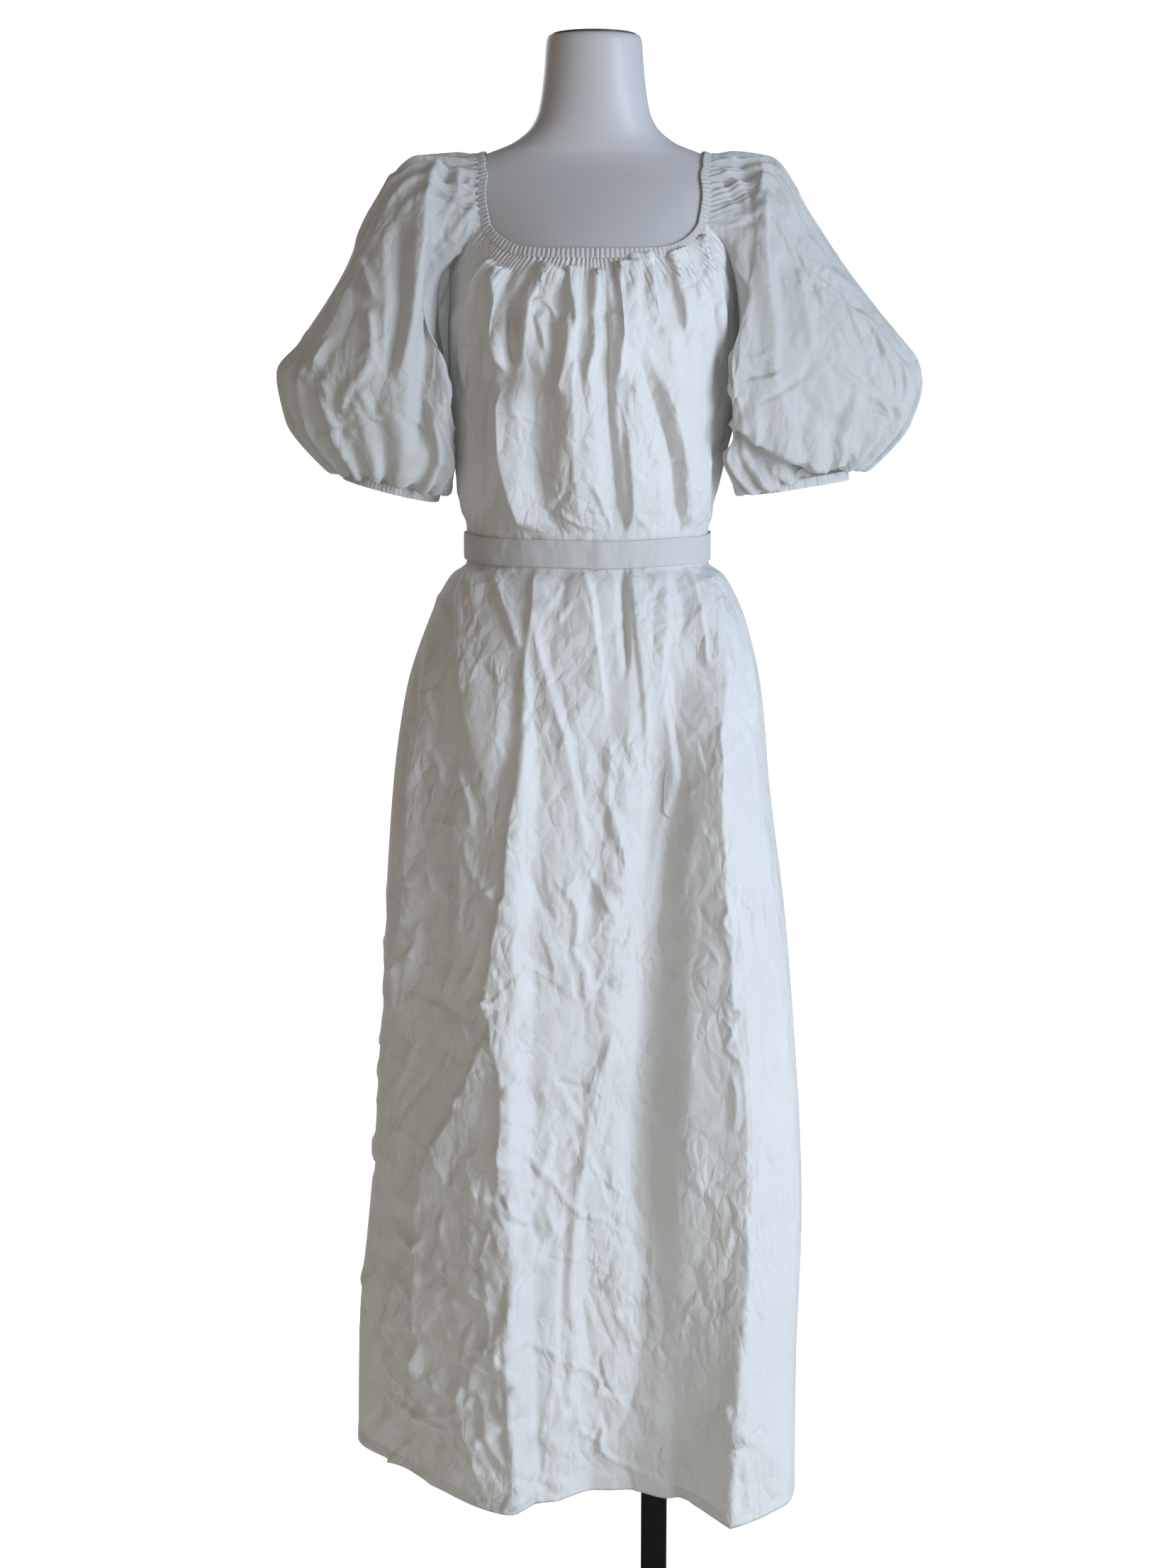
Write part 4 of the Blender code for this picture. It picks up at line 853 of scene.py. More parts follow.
# The skirt's main folds: angles, depths in mm and left flanks at the four heights, right flank,
# flat top, lean and how sharp the crest is
foldHeights = (0.255, 0.650, 1.000, 1.190)
skirtFolds = (
    ((-20, -23, -22, -27), (32, 24, 14, 0), (26, 26, 26, 26), 6, 2, -8, 0.3),
    ((0, 6, 12, 6), (-26, -24, -15, -1), (10, 24, 26, 16), 14, 8, 0, 0),
    ((5, 3, 8, 16), (2, 7, 7, 0), (7, 7, 7, 7), 9, 2, 10, 0.3),
    ((33, 43, 42, 52), (82, 57, 36, 1), (9, 30, 22, 24), 32, 22, 15, 0.8),
    ((-64, -62, -60, -60), (-14, -9, -4, 0), (20, 20, 20, 20), 20, 6, -60, 0),
    ((116, 114, 112, 112), (16, 12, 6, 0), (12, 12, 12, 12), 12, 2, 116, 0),
    ((150, 151, 152, 154), (34, 22, 10, 0), (12, 12, 12, 12), 15, 3, 155, 0),
    ((178, 180, 181, 180), (24, 20, 12, 0), (9, 9, 9, 9), 11, 2, 180, 0),
    ((203, 206, 205, 204), (38, 24, 11, 0), (13, 13, 13, 13), 9, 4, 202, 0),
    ((236, 234, 232, 230), (30, 18, 8, 0), (12, 12, 12, 12), 13, 3, 232, 0),
)
casing = {
    "width": 0.0105,
    "thick": 0.0032,
    "ruches": 172,
    "perRuche": 8,
    "ruffle": 0.42,
    "scallop": 0.09,
}
neckCount = 2 * (len(neckLine) - 1)
neckHalf = [(math.radians(a), h) for a, h in neckLine]
neckLoop = np.array(neckHalf + [(2 * math.pi - a, h) for a, h in neckHalf[-2:0:-1]])
neckTurns = np.concatenate([neckLoop + (2 * math.pi * turn, 0) for turn in (-1, 0, 1)]
                           + [neckLoop[:1] + (4 * math.pi, 0)])
neckKnots = np.arange(len(neckTurns)) - neckCount


# A point of the neckline on the form, with its angle and height, at a station counted in knots
def neckPoint(station):
    angle, height = np.moveaxis(smoothBetween(neckKnots, neckTurns, station), -1, 0)
    return onSection(formSections, angle, height), angle, height


# Middle of the casing, the way along it, out of the form, and down the form
def neckFrame(station):
    point, angle, height = neckPoint(station)
    along = unit(neckPoint(station + 0.01)[0] - neckPoint(station - 0.01)[0])
    out = sectionNormal(formSections, angle, height)
    return point + out * (cloth["formEase"] + casing["thick"] / 2), along, out, unit(np.cross(along, out))


# Stations at given shares of the length between two stations
def evenStations(first, last, shares):
    fine = np.linspace(first, last, 900)
    points = neckFrame(fine)[0]
    length = np.concatenate([[0], np.cumsum(np.linalg.norm(np.diff(points, axis=0), axis=1))])
    return np.interp(np.asarray(shares) * length[-1], length, fine)


# A fold's outline across the angle: a flat top that falls away over each flank. A sharp crest's left
# flank is t^1.4 instead of 3t^2 - 2t^3
def foldOutline(offset, leftFlank, rightFlank, flat, sharp):
    t = np.clip((offset + leftFlank) / leftFlank, 0, 1)
    rise = sharp * t ** 1.4 + (1 - sharp) * smoothStep(t)
    return rise * smoothStep((flat + rightFlank - offset) / rightFlank)


# How far the skirt's folds move its points: each fold's depth times its outline, along its lean
def foldMove(angle, height):
    move = np.zeros(angle.shape + (3,))
    spread = np.interp(height, foldHeights, (1, 0.85, 0.6, 0.4))
    for angles, depths, leftFlanks, rightFlank, flat, lean, sharp in skirtFolds:
        offset = (np.degrees(angle) - np.interp(height, foldHeights, angles) + 180) % 360 - 180
        leftFlank = np.interp(height, foldHeights, leftFlanks)
        depth = np.interp(height, foldHeights, depths) * 0.001
        way = np.array([math.sin(math.radians(lean)), -math.cos(math.radians(lean)), 0])
        outline = foldOutline(offset, leftFlank, rightFlank, flat * spread, sharp)
        move += (depth * outline)[..., None] * way
    return move


# Angle of a side seam at a height: column 1 is the left seam, 2 the right
def seamAngle(column, height):
    table = np.array(sideSeams)
    return np.radians(smoothBetween(table[:, 0], table[:, column], height))


# Angle about the dress of a panel's points: -1 to 1 across it is seam to seam
def panelAngle(panel, height, across):
    left, right = seamAngle(1, height), seamAngle(2, height)
    if panel == "front":
        return across * np.where(across < 0, left, right)
    return math.pi + across * np.where(across < 0, math.pi - right, math.pi - left)


# The plain surface of a panel. Drop is 0 at the casing, 1 at the underarm, 2 at the belt, 3 at the hem.
# Above the underarm the panel narrows to its share of the neckline
def panelSurface(panel, across, drop):
    first, last = ((-frontCorner, frontCorner) if panel == "front"
                   else (backCorner, neckCount - backCorner))
    middle, along, out, down = neckFrame(evenStations(first, last, (across[0] + 1) / 2))
    top = middle + down * (casing["width"] / 2 - 0.0025) - out * 0.0002
    topAngle = sectionAngle(fullDress, top)
    if panel == "back":
        topAngle = np.where(topAngle < 0, topAngle + 2 * math.pi, topAngle)
    levels = (cloth["underarm"], cloth["beltMiddle"], cloth["hemHeight"])
    height = np.where(drop < 1, top[:, 2] + (cloth["underarm"] - top[:, 2]) * drop,
                      np.interp(drop, (1, 2, 3), levels))
    under = panelAngle(panel, np.full_like(across, cloth["underarm"]), across)
    spread = smoothBetween(*raglanSpread, np.clip(drop, 0, 1))
    angle = np.where(drop < 1, topAngle + (under - topAngle) * spread, panelAngle(panel, height, across))
    fit = top - onSection(fullDress, topAngle, top[:, 2])
    points = onSection(fullDress, angle, height) + fit * (np.clip(1 - drop, 0, 1) ** 5)[..., None]
    return points, angle, height


# Moves points that lie inside the form out to its skin and a little beyond
def keepOffForm(points, clear=0.0008):
    angle = sectionAngle(formSections, points)
    skin = onSection(formSections, angle, points[..., 2])
    own = np.hypot(points[..., 0], points[..., 1])
    short = np.clip(np.hypot(skin[..., 0], skin[..., 1]) + clear - own, 0, 0.02)
    short = short * ((points[..., 2] > 0.926) & (points[..., 2] < 1.62))
    points[..., :2] += points[..., :2] / own[..., None] * short[..., None]
    return points


# How freely the cloth may fold near the belt: hardly at all under it
def beltEase(height):
    off = np.abs(height - cloth["beltMiddle"]) - (cloth["beltHigh"] - cloth["beltLow"]) / 2
    return 0.10 + 0.90 * smoothStep(off / 0.022)


body = {
    "frontGathers": 17,
    "bodiceDepth": 1.45,
    "crumpleDepth": 1.25,
    "backGathers": 19,
    "frontGatherDepth": 0.0024,
    "backGatherDepth": 0.0042,
    "ruffle": 0.0013,
    "ruffleCount": 62,
    "hemWidth": 0.012,
    "hemLift": 0.00035,
    "pocketLow": 1.055,
    "pocketHigh": 1.140,
    "pocketGape": 0.0050,
}
frontCrumple = (
    randomCreases(11, 200, (-255, 262), (40, 900), (28, -32, 60, -10, 12), (30, 110), (7, 24), (0.9, 3.0))
    + randomCreases(12, 46, (80, 262), (225, 900), (20, -25, 70, 0), (24, 90), (6, 18), (0.3, 1.1))
    + randomCreases(13, 120, (-240, 262), (-60, 620), (25, -30, 5, 80), (30, 120), (7, 26), (1.2, 3.6))
    + randomCreases(14, 70, (-190, 900), (150, 1205), (8, -12, 30, -35), (24, 90), (6, 18), (0.5, 1.7))
    + randomCreases(15, 46, (-130, 1250), (125, 1500), (12, -12, 35, -40), (20, 70), (5, 14), (0.4, 1.3))
)
backCrumple = (
    randomCreases(21, 190, (-255, 262), (225, 1000), (26, -30, 60, -8, 10), (30, 110), (8, 26), (0.7, 2.6))
    + randomCreases(22, 60, (-230, 262), (200, 900), (8, -8, 30), (60, 190), (5, 16), (1.5, 4.0), 0.7)
    + randomCreases(23, 110, (-170, 1000), (150, 1205), (8, -12, 30), (18, 90), (3, 12), (0.5, 2.0))
    + randomCreases(24, 40, (-130, 1250), (130, 1520), (6, -6, 14), (60, 200), (6, 18), (1.5, 4.0), 0.5)
    + randomCreases(25, 90, (-130, 1250), (130, 1500), (12, -12, 35, -40), (15, 60), (3, 9), (0.3, 1.2))
)


# A finished panel: its surface with gathers, skirt folds and creases, kept off the form
def dressPanel(panel, across, drop, turnIn):
    points, angle, height = panelSurface(panel, across, drop)
    plain = sectionNormal(fullDress, angle, height)
    gathers = body["frontGathers"] if panel == "front" else body["backGathers"]
    depth = body["frontGatherDepth"] if panel == "front" else body["backGatherDepth"]
    level = np.where(drop < 1, drop, np.interp(-height, (-1.375, -1.330, -1.290, -1.248, -1.213, -0.255),
                                               (1, 1.25, 1.5, 1.75, 2, 3.6)))
    fade = smoothStep(level / 0.25) * (1 - smoothStep((level - 0.3) / 1.3))
    phase = gathers * (across + 1) / 2 + 0.22 * np.sin(5.3 * across + 1.1) + 0.13 * np.sin(12.1 * across)
    sides = 1 - np.abs(across) ** 6
    lift = depth * fade * (0.5 - 0.5 * np.cos(2 * math.pi * phase)) * sides
    ruffles = body["ruffleCount"] * (across + 1) / 2 + 0.5 * np.sin(9 * across) + 0.3 * np.sin(23 * across)
    lift += body["ruffle"] * np.exp(-level / 0.10) * np.cos(2 * math.pi * ruffles)
    points = points + plain * lift[..., None] + foldMove(angle, height)
    if panel == "front":
        gape = (smoothStep((height - body["pocketLow"]) / 0.02)
                * smoothStep((body["pocketHigh"] - height) / 0.02) * smoothStep((across - 0.86) / 0.14))
        points = points + plain * (body["pocketGape"] * gape)[..., None]

    # Creases stand along the cloth's own normal, and sit where they are placed by x and z
    spots = points[..., [0, 2]]
    facing = smoothStep((0.015 - points[..., 1]) / 0.03)
    own = body["bodiceDepth"] * creaseLift(spots, bodiceCreases) * (height > 1.23)
    own += creaseLift(spots, upperSkirtCreases + lowerSkirtCreases) * (height < 1.23)
    own += body["crumpleDepth"] * creaseLift(spots, frontCrumple)
    behind = body["crumpleDepth"] * creaseLift(spots, backCrumple)
    lift = (own * facing + behind * (1 - facing)) * beltEase(height)
    lift += body["hemLift"] * smoothStep((cloth["hemHeight"] + body["hemWidth"] - height) / 0.001)
    normals = gridNormals(points)
    rows = np.cumsum(turnIn > 0, axis=0)
    normals = np.where((rows > 0)[..., None], plain, normals)
    points = points + normals * (lift - turnIn)[..., None]
    points[..., 2] += 0.0016 * np.sin(7 * angle + 1) * smoothStep((0.40 - height) / 0.14)
    return keepOffForm(points)


# Cloth map of a panel: metres across its cut and metres down it
def panelMap(across, drop, halfWidth):
    down = np.interp(drop, (0, 1, 2, 3), (0, 0.16, 0.31, 1.29))
    return np.stack([across * halfWidth, -down], axis=-1)


# Panel, columns, rows, from and to which level, the cut's width and length, and its area
grids = {
    "frontBodice": ("front", 330, 180, (0, 2), (0.60, 0.34), 0.165),
    "frontSkirt": ("front", 300, 320, (2, 3), (0.70, 1.02), 0.620),
    "backBodice": ("back", 250, 140, (0, 2), (0.60, 0.38), 0.170),
    "backSkirt": ("back", 270, 250, (2, 3), (0.92, 1.02), 0.800),
}
for name, (panel, columns, rows, (start, stop), cut, cutArea) in grids.items():
    steps = np.linspace(start, stop, rows)
    if start == 0:
        steps = 2 * np.linspace(0, 1, rows) ** 1.25
    inset = np.zeros(rows)
    if stop == 3:
        reach = 1 / (cloth["beltMiddle"] - cloth["hemHeight"])
        steps = np.concatenate([steps, 3 - reach * np.array([0.0004, 0.004, 0.008, body["hemWidth"]])])
        inset = np.concatenate([inset, [0.0008, 0.0012, 0.0012, 0.0012]])
    across, drop = np.meshgrid(np.linspace(-1, 1, columns), steps)
    turnIn = np.broadcast_to(inset[:, None], drop.shape)
    points = dressPanel(panel, across, drop, turnIn)
    piece = addGrid(name, points, dressCotton, uv=panelMap(across, drop, 0.375))
    layCotton(panel + "_panel")
    print("stage:", name, "is folded,", len(piece.data.polygons), "faces")


# Sleeves
sleeve = {
    "headTurn": math.radians(58),
    "boxiness": 0.86,
    "hug": {"left": 0.065, "right": 0.080},
    "lean": {"left": 1.05, "right": 1.55},
    "headColumns": 190,
    "lowColumns": 170,
    "rows": 165,
    "cuffGathers": 23,
    "cuffGatherDepth": 0.0040,
    "headGathers": 9,
    "headGatherDepth": 0.0034,
    "ruffles": 27,
    "ruffleDepth": 0.0024,
    "puffDrop": 0.0115,
    "mapRadius": 0.115,
    "mapLength": 0.33,
}
# Share along the sleeve, inner x and z, outer x and z, depth to the front and to the back
sleeveRings = {
    "right": (
        (0.14, 0.1580, 1.3730, 0.1730, 1.6160, 0.0860, 0.0840),
        (0.30, 0.1600, 1.3700, 0.2180, 1.5600, 0.0970, 0.0900),
        (0.46, 0.1570, 1.3610, 0.2570, 1.5060, 0.1020, 0.0950),
        (0.62, 0.1500, 1.3510, 0.3050, 1.4450, 0.1010, 0.0960),
        (0.75, 0.1440, 1.3340, 0.3330, 1.3980, 0.0950, 0.0920),
        (0.86, 0.1400, 1.3150, 0.3220, 1.3580, 0.0810, 0.0820),
        (0.94, 0.1440, 1.2950, 0.2870, 1.3260, 0.0670, 0.0700),
        (1.00, 0.1560, 1.2850, 0.2590, 1.3070, 0.0520, 0.0560),
    ),
    "left": (
        (0.14, 0.1580, 1.3730, 0.1730, 1.6160, 0.0860, 0.0840),
        (0.30, 0.1600, 1.3690, 0.2250, 1.5580, 0.0990, 0.0900),
        (0.46, 0.1570, 1.3590, 0.2530, 1.5020, 0.1040, 0.0950),
        (0.62, 0.1520, 1.3470, 0.2950, 1.4390, 0.1030, 0.0960),
        (0.75, 0.1480, 1.3310, 0.3190, 1.4050, 0.0970, 0.0920),
        (0.86, 0.1460, 1.3110, 0.3110, 1.3600, 0.0820, 0.0820),
        (0.94, 0.1480, 1.2940, 0.2740, 1.3230, 0.0670, 0.0700),
        (1.00, 0.1580, 1.2860, 0.2540, 1.3060, 0.0520, 0.0560),
    ),
}


# One edge of a panel, set out a little for the sleeve's seam, at shares of the way to the underarm
def seamEdge(panel, side, shares):
    end = 1.0 if (side == "right") == (panel == "front") else -1.0
    across, drop = np.meshgrid(np.array([end * 0.95, end]), shares)
    points, angle, height = panelSurface(panel, across, drop)
    away = unit(points[:, 1] - points[:, 0])
    return points[:, 1] + away * 0.0002 + sectionNormal(fullDress, angle, height)[:, 1] * 0.0008


# The sleeve's seam loop at each turn: over the shoulder inside the casing, down the front panel's
# edge to the underarm and up the back panel's
def sleeveLoop(side, turn):
    head, sign = sleeve["headTurn"], (1 if side == "right" else -1)
    share = 1 - np.clip((turn + head) / (2 * head), 0, 1)
    ends = np.clip((turn - head) / (math.pi - head), 0, 1)
    backEnds = np.clip((2 * math.pi - head - turn) / (math.pi - head), 0, 1)
    steps = len(raglanSteps) - 1
    middle, along, out, down = neckFrame(evenStations(sign * frontCorner, sign * backCorner, share))
    over = middle + down * (casing["width"] / 2 - 0.0025) - out * 0.0002
    front = seamEdge("front", side, np.interp(ends * steps, np.arange(steps + 1), raglanSteps))
    back = seamEdge("back", side, np.interp(backEnds * steps, np.arange(steps + 1), raglanSteps))
    # Both edges are drawn to one point at the underarm
    frontEnd, backEnd = (seamEdge(panel, side, np.array([1.0])) for panel in ("front", "back"))
    under = (frontEnd + backEnd) / 2
    front += (under - frontEnd) * ends[:, None] ** 8
    back += (under - backEnd) * backEnds[:, None] ** 8
    return np.where((turn <= head)[:, None], over, np.where((turn <= math.pi)[:, None], front, back))


# A balloon sleeve: rings set between its seam loop and its cuff, gathered at both ends, then creased
def dressSleeve(side, rings, creases, crumple):
    sign = 1 if side == "right" else -1
    head = sleeve["headTurn"]
    turn = np.concatenate([np.linspace(-head, head, sleeve["headColumns"], endpoint=False),
                           np.linspace(head, 2 * math.pi - head, sleeve["lowColumns"], endpoint=False)])
    rows = np.linspace(0, 1, sleeve["rows"]) ** 1.08
    sections = [sleeveLoop(side, turn)]
    sine, cosine = np.sin(turn), np.cos(turn)
    for along, innerX, innerZ, outerX, outerZ, frontDepth, backDepth in rings:
        middle = np.array([(innerX + outerX) / 2 * sign, 0, (innerZ + outerZ) / 2])
        reach = np.array([(outerX - innerX) / 2 * sign, 0, (outerZ - innerZ) / 2])
        section = middle + (np.sign(cosine) * np.abs(cosine) ** sleeve["boxiness"])[:, None] * reach
        hug = sleeve["hug"][side] * smoothStep(along / 0.38) * smoothStep((1 - along) / 0.14)
        section[:, 0] -= sign * hug * np.clip(sine, 0, 1) ** 2 * (1 - cosine) / 2
        depth = np.where(sine > 0, frontDepth, backDepth)
        leaned = np.sin(math.pi * (np.clip(turn, 0, math.pi) / math.pi) ** sleeve["lean"][side])
        swell = np.where(sine > 0, leaned, sine)
        section[:, 1] = -np.sign(swell) * np.abs(swell) ** sleeve["boxiness"] * depth
        sections.append(section)
    stations = [0] + [row[0] for row in rings]
    points = smoothBetween(stations, np.array(sections), rows)
    points[0] = sections[0]

    # The puff hangs over the cuff before it turns up into it
    share, around = rows[:, None], turn[None, :]
    waves = sleeve["cuffGathers"] * around + 1.3 * np.sin(3 * around + sign) + 0.8 * np.sin(5 * around)
    puff = smoothStep((share - 0.84) / 0.11) * smoothStep((1 - share) / 0.05)
    points[..., 2] -= sleeve["puffDrop"] * puff * (0.8 + 0.2 * np.cos(waves))

    outward = gridNormals(points, flip=(side == "right"), closed=True)
    atCuff = smoothStep((share - 0.60) / 0.26) * (1 - 0.55 * smoothStep((share - 0.93) / 0.07))
    atHead = smoothStep(share / 0.05) * (1 - smoothStep((share - 0.10) / 0.34))
    overHead = np.clip(1 - (np.abs(np.where(around > math.pi, around - 2 * math.pi, around))
                            / sleeve["headTurn"]) ** 4, 0, 1)
    besideBody = 1 - 0.9 * smoothStep((-np.cos(around) - 0.5) / 0.4)
    headWaves = sleeve["headGathers"] * math.pi * around / head + 1.1 * np.sin(4 * around)
    ruffles = (sleeve["ruffles"] * math.pi * around / head + 1.9 * np.sin(6 * around + sign)
               + np.sin(17 * around))
    atCasing = np.exp(-share / 0.075) * smoothStep(share / 0.004)
    lift = (sleeve["cuffGatherDepth"] * atCuff * besideBody * (0.75 * np.cos(waves)
                                                               + 0.25 * np.cos(1.7 * waves + 1))
            + sleeve["headGatherDepth"] * atHead * overHead * np.cos(headWaves)
            + sleeve["ruffleDepth"] * atCasing * overHead * np.cos(ruffles))
    facing = smoothStep((0.005 - points[..., 1]) / 0.03)
    lift += creaseLift(points[..., [0, 2]], creases) * facing
    flat = np.stack(np.broadcast_arrays(around * 0.110, -share * 0.300), axis=-1)
    lift += creaseLift(flat, crumple) * smoothStep(share / 0.06) * smoothStep((1 - share) / 0.05)
    points = points + outward * lift[..., None]
    mapped = np.broadcast_arrays(around * sleeve["mapRadius"], -share * sleeve["mapLength"])
    clothMap = np.stack(mapped, axis=-1)
    return points, clothMap


crumpleSides = (-112, -295), (580, -10)
sleeveCrumple = {
    "right": (randomCreases(31, 130, *crumpleSides, (20, -25, 60, -5), (24, 90), (6, 18), (0.5, 1.8))
              + randomCreases(32, 26, *crumpleSides, (6, -8, 30), (60, 150), (6, 16), (1.5, 4.0), 0.6)),
    "left": (randomCreases(33, 130, *crumpleSides, (20, -25, 60, -5), (24, 90), (6, 18), (0.5, 1.9))
             + randomCreases(34, 26, *crumpleSides, (6, -8, 30), (60, 150), (6, 16), (1.5, 4.0), 0.6)),
}
sleeveGrids = {}
for side, creases in (("left", leftSleeveCreases), ("right", rightSleeveCreases)):
    points, clothMap = dressSleeve(side, sleeveRings[side], creases, sleeveCrumple[side])
    sleeveGrids[side] = points
    lastColumn = clothMap[:, :1] + (2 * math.pi * sleeve["mapRadius"], 0)
    piece = addGrid("balloonSleeve_" + side, points, sleeveCottonPaintedShade, flip=(side == "right"), closed=True,
                    uv=np.concatenate([clothMap, lastColumn], axis=1))
    layCotton("sleeve_" + side)
    print("stage: sleeve", side, "is made,", len(piece.data.polygons), "faces")


# Casings, belt and tie

# An elasticated ring: a rounded bar along a closed path, with ruches raised on its outer side.
# Its outline is a box with round corners, and each ruche is the root of a sine between two tucks
def ruchedRing(name, middle, out, down, width, thick, ruches, ruffle, scallop, seed):
    count = len(middle)
    rng = np.random.RandomState(seed)
    place = np.arange(count) / count * ruches
    knots = np.arange(ruches + 1)
    drift = np.interp(place, knots, np.append(rng.normal(0, 0.14, ruches), 0))
    high = np.interp(place, knots, rng.uniform(0.65, 1.15, ruches + 1))
    wave = np.abs(np.sin(math.pi * (place + drift * np.sin(math.pi * place / ruches)))) ** 0.7 * high
    corner = np.linspace(0, 2 * math.pi, 17)[:-1]
    sine, cosine = np.sin(corner), np.cos(corner)
    across = np.sign(cosine) * np.abs(cosine) ** 0.55 * width / 2
    raised = np.sign(sine) * np.abs(sine) ** 0.6 * thick / 2
    outer = np.clip(sine, 0, 1)
    lift = raised[None, :] - ruffle * thick * outer[None, :] * (1 - wave[:, None])
    spread = across[None, :] * (1 + scallop * (wave[:, None] - 0.7))
    ring = middle[:, None] + down[:, None] * spread[..., None] + out[:, None] * lift[..., None]
    ring = np.concatenate([ring, ring[:1]], axis=0)
    steps = np.concatenate([[0], np.cumsum(np.linalg.norm(np.diff(ring[:, 0], axis=0), axis=1))])
    around = np.linspace(0, 2 * (width + thick), 17)
    clothMap = np.stack(np.broadcast_arrays(steps[:, None] * 1.6, around[None, :]), axis=-1)
    piece = addGrid(name, ring, doubledCottonPaintedShade, closed=True, uv=clothMap)
    return piece


# Turns a closed piece's faces round if the volume they bound comes out negative
def pointOutwards(piece):
    mesh = piece.data
    centre = np.zeros(len(mesh.polygons) * 3)
    normal = np.zeros(len(mesh.polygons) * 3)
    mesh.polygons.foreach_get("center", centre)
    mesh.polygons.foreach_get("normal", normal)
    centre, normal = centre.reshape(-1, 3), normal.reshape(-1, 3)
    volume = (centre * normal).sum(1) @ np.array([p.area for p in mesh.polygons])
    if volume < 0:
        mesh.flip_normals()


count = casing["ruches"] * casing["perRuche"]
stations = evenStations(0, neckCount, np.arange(count) / count)
middle, along, out, down = neckFrame(stations)
piece = ruchedRing("neckCasing", middle, out, down, casing["width"], casing["thick"], casing["ruches"],
                   casing["ruffle"], casing["scallop"], 41)
pointOutwards(piece)
layCotton("neck_casing")

cuff = {
    "width": 0.0100,
    "thick": 0.0030,
    "ruches": 78,
    "perRuche": 7,
}
for side in ("left", "right"):
    last = sleeveGrids[side][-1]
    centre = last.mean(axis=0)
    across = last - centre
    down = unit(np.cross(across[0], across[len(across) // 4]))
    down = down if down[2] < 0 else -down
    outward = unit(across - (across @ down)[:, None] * down)
    radius = np.linalg.norm(across, axis=1)
    kernel = np.ones(9) / 9
    radius = np.convolve(np.concatenate([radius[-4:], radius, radius[:4]]), kernel, "valid")
    count = cuff["ruches"] * cuff["perRuche"]
    steps = np.linalg.norm(np.diff(last, axis=0, append=last[:1]), axis=1)
    length = np.concatenate([[0], np.cumsum(steps)])
    at = np.arange(count) / count * length[-1]
    loop = np.concatenate([outward, outward[:1]])
    outward = unit(np.stack([np.interp(at, length, loop[:, k]) for k in range(3)], axis=1))
    radius = np.interp(at, length, np.append(radius, radius[0]))
    middle = centre + outward * radius[:, None] + down * (cuff["width"] / 2 - 0.0010)
    piece = ruchedRing("cuffCasing_" + side, middle, outward, np.broadcast_to(down, outward.shape),
                       cuff["width"], cuff["thick"], cuff["ruches"], 0.4, 0.12, 42)
    pointOutwards(piece)
    layCotton("cuff_" + side)
print("stage: casings are ruched")

belt = {
    "thick": 0.0016,
    "columns": 420,
    "knot": (0.034, 0.014, 0.034),
    "tailWidth": 0.0270,
    "tailLength": 0.300,
    "tailClear": 0.0050,
    "tailThick": 0.0014,
}
beltCreases = (
    (0.5, 3, 3, 1, 0.1, 0.1, -33, 1244, -44, 1218),
    (0.6, 3, 4, 1, 0.1, 0.1, -16, 1244, 6, 1215),
    (0.4, 4, 4, 1, 0.2, 0.2, -75, 1244, -70, 1216),
    (-0.4, 4, 4, 1, 0.2, 0.2, 62, 1243, 60, 1217),
    (0.4, 5, 5, 1, 0.2, 0.2, 95, 1244, 101, 1218),
)
around = np.linspace(0, 2 * math.pi, belt["columns"] + 1)
corner = np.linspace(0, 2 * math.pi, 25)
sine, cosine = np.sin(corner), np.cos(corner)
upDown = np.sign(cosine) * np.abs(cosine) ** 0.35 * (cloth["beltHigh"] - cloth["beltLow"]) / 2
inOut = (np.sign(sine) * np.abs(sine) ** 0.35 + 1) * belt["thick"] / 2
base = onSection(fullDress, around, np.full_like(around, cloth["beltMiddle"]))
normal = sectionNormal(fullDress, around, np.full_like(around, cloth["beltMiddle"]))
offset = cloth["wall"] / 2 + cloth["gap"]
points = base[:, None] + normal[:, None] * (offset + inOut)[None, :, None]
dip = 0.0032 * np.clip(np.cos(around), 0, 1) + 0.0005 * np.sin(6 * around + 0.5)
points[..., 2] = cloth["beltMiddle"] + upDown[None, :] - dip[:, None]
dent = creaseLift(points[..., [0, 2]], beltCreases) * (points[..., 1] < 0)
dent += 0.00035 * np.sin(17 * around + 3 * np.sin(3 * around))[:, None]
points = points + normal[:, None] * (dent * np.clip(sine, 0, 1)[None, :])[..., None]
beltMap = np.stack(np.broadcast_arrays(around[:, None] * 0.105, np.linspace(0, 0.058, 25)[None, :]), axis=-1)
piece = addGrid("waistBelt", points, doubledCottonPaintedShade, uv=beltMap, weld=True)
pointOutwards(piece)
layCotton("belt")


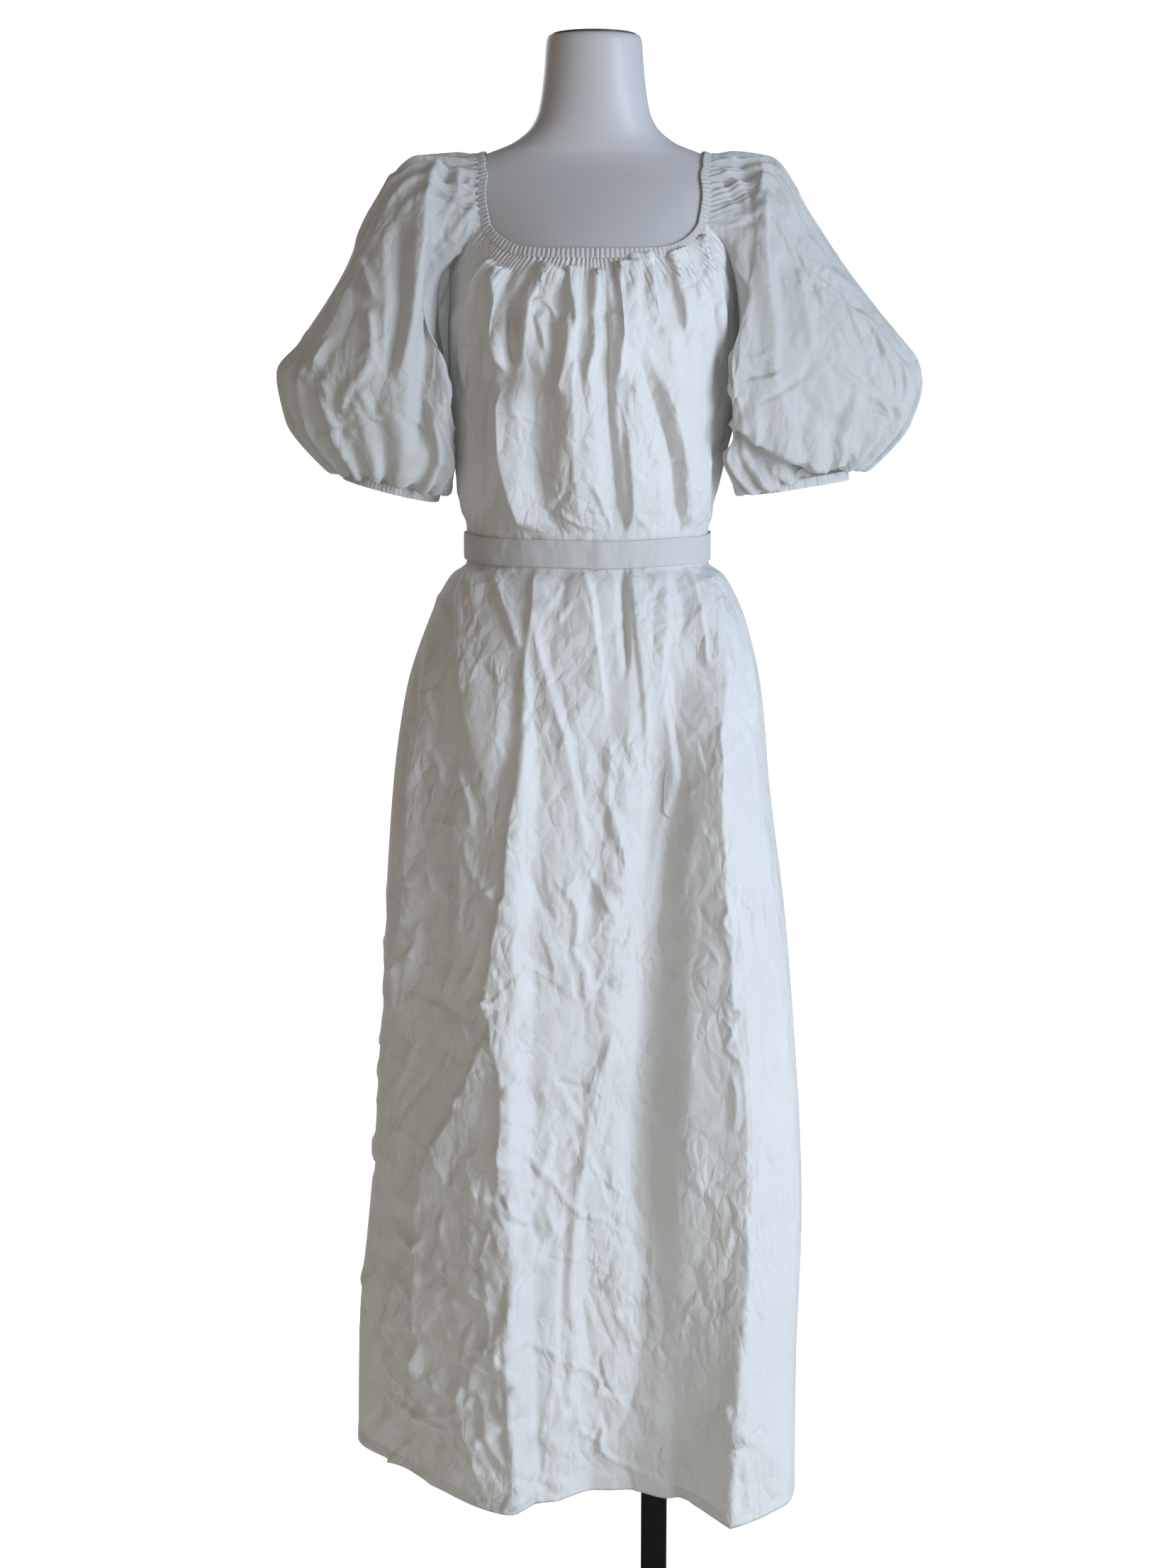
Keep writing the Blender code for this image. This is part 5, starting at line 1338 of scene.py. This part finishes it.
# The knot at the back: a puffed block wrapped by one turn of the belt, drawn in along two tucks
def makeKnot():
    width, deep, high = belt["knot"]
    backY = onSection(fullDress, np.array([math.pi]), np.array([cloth["beltMiddle"]]))[0, 1]
    face = backY + offset + belt["thick"] + cloth["gap"]
    turn, rise = np.meshgrid(np.linspace(0, 2 * math.pi, 73), np.linspace(0, math.pi, 49))
    sine, cosine = np.sin(rise), np.cos(rise)
    x = np.sign(np.sin(turn)) * np.abs(np.sin(turn)) ** 0.7 * sine ** 0.8 * width / 2
    y = np.sign(-np.cos(turn)) * np.abs(np.cos(turn)) ** 0.7 * sine ** 0.8 * deep / 2
    z = np.sign(cosine) * np.abs(cosine) ** 0.7 * high / 2
    tuck = (0.09 * np.cos(2 * math.pi * (x / width * 1.6 + z / high * 0.8))
            + 0.05 * np.cos(9 * z / high + 2 * x / width))
    points = np.stack([x * (1 + tuck), y * (1 + tuck), z * (1 + 0.4 * tuck)], axis=-1) * 0.93
    points = points + (0, face + deep / 2, cloth["beltMiddle"])
    mapped = np.stack([turn * 0.012, rise * 0.012], axis=-1)
    piece = addGrid("beltKnot", points, doubledCottonPaintedShade, uv=mapped, weld=True)
    pointOutwards(piece)
    layCotton("belt_knot")


# Gives a single sheet two faces, half its wall to each side
def addWall(piece, thick):
    wall = piece.modifiers.new("wall", "SOLIDIFY")
    wall.thickness = thick
    wall.offset = 0


# The two hanging ends: a folded strip down the back of the skirt, clear of it, with soft waves
def makeTails():
    table = np.array(fullDress)
    down, across = np.meshgrid(np.linspace(0, 1, 110), np.linspace(-0.5, 0.5, 15), indexing="ij")
    top = cloth["beltMiddle"] - belt["knot"][2] / 2 + 0.002
    for side, spread in (("left", -0.032), ("right", 0.026)):
        start = math.copysign(belt["knot"][0] / 4, spread)
        width = belt["tailWidth"] * (0.5 + 0.5 * smoothStep(down / 0.35))
        x = start + spread * down + across * width
        z = top - down * belt["tailLength"] - 0.004 * across * (down > 0.99)
        half = smoothBetween(table[:, 0], table[:, 1 if side == "left" else 2], z)
        angle = math.pi - np.arcsin(x / half)
        points = onSection(fullDress, angle, z) + foldMove(angle, z)
        fold = 0.0012 * np.cos(2 * math.pi * across) * (1 - down) + 0.0012 * np.sin(9 * down + 2 * across)
        points += sectionNormal(fullDress, angle, z) * (belt["tailClear"] + fold)[..., None]
        mapped = np.stack([across * belt["tailWidth"], -down * belt["tailLength"]], axis=-1)
        piece = addGrid("beltEnd_" + side, points, doubledCottonPaintedShade, uv=mapped)
        addWall(piece, belt["tailThick"])
        layCotton("belt_end_" + side)


makeKnot()
makeTails()
print("stage: belt is tied")

# Pockets
pocket = {
    "top": 1.150,
    "bottom": 0.935,
    "taper": 0.975,
    "wide": 0.12,
    "reach": 34,
    "drop": 0.0100,
    "thick": 0.0014,
}


# A pocket bag pressed flat behind the front panel: it hangs from the side seam and tapers below
def makePocket(side):
    sign = 1 if side == "right" else -1
    share, height = np.meshgrid(np.linspace(0, 1, 40), np.linspace(pocket["top"], pocket["bottom"], 60))
    seam = seamAngle(2 if side == "right" else 1, height)
    roundOff = 1 - 0.35 * smoothStep((pocket["taper"] - height) / 0.03) * share
    angle = sign * (seam - math.radians(1.5) - math.radians(pocket["reach"]) * share * roundOff)
    hung = foldMove(sign * seam, height)
    points = onSection(fullDress, angle, height) + hung * ((1 - share) ** 2)[..., None]
    inward = cloth["wall"] / 2 + cloth["gap"] + 0.001 + pocket["drop"] * smoothStep(share / 0.5)
    inward = (inward + 0.004 * smoothStep((pocket["taper"] - height) / 0.04)
              + 0.0006 * np.sin(60 * height + 5 * share))
    points = points - sectionNormal(fullDress, angle, height) * inward[..., None]
    mapped = np.stack([share * pocket["wide"], height], axis=-1)
    piece = addGrid("pocketBag_" + side, points, dressCotton, flip=(side == "right"), uv=mapped)
    addWall(piece, pocket["thick"])
    layCotton("pocket_bag_" + side)


makePocket("left")
makePocket("right")
print("stage: pockets hang inside")


# The form
def makeForm():
    table = np.array(formSections)
    lowest, highest = table[0, 0], table[-1, 0]
    heights = np.concatenate([np.linspace(lowest, 1.55, 70), np.linspace(1.555, highest, 70)])
    around = np.linspace(0, 2 * math.pi, 145)
    turn, height = np.meshgrid(around, heights)
    trunk = onSection(formSections, turn, height)
    middleTop = np.array([0, (table[-1, 4] - table[-1, 3]) / 2, highest])
    middleLow = np.array([0, (table[0, 4] - table[0, 3]) / 2, lowest])
    low = middleLow + (trunk[:1] - middleLow) * np.array([0.001, 0.5, 0.97])[:, None, None]
    top = middleTop + (trunk[-1:] - middleTop) * np.array([0.97, 0.5, 0.001])[:, None, None]
    points = np.concatenate([low, trunk, top])[::-1]
    piece = addGrid("formShell", points, shellGloss)
    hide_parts("form_torso")


makeForm()
print("stage: the form is smooth")

print("stage: all pieces ride on the part")
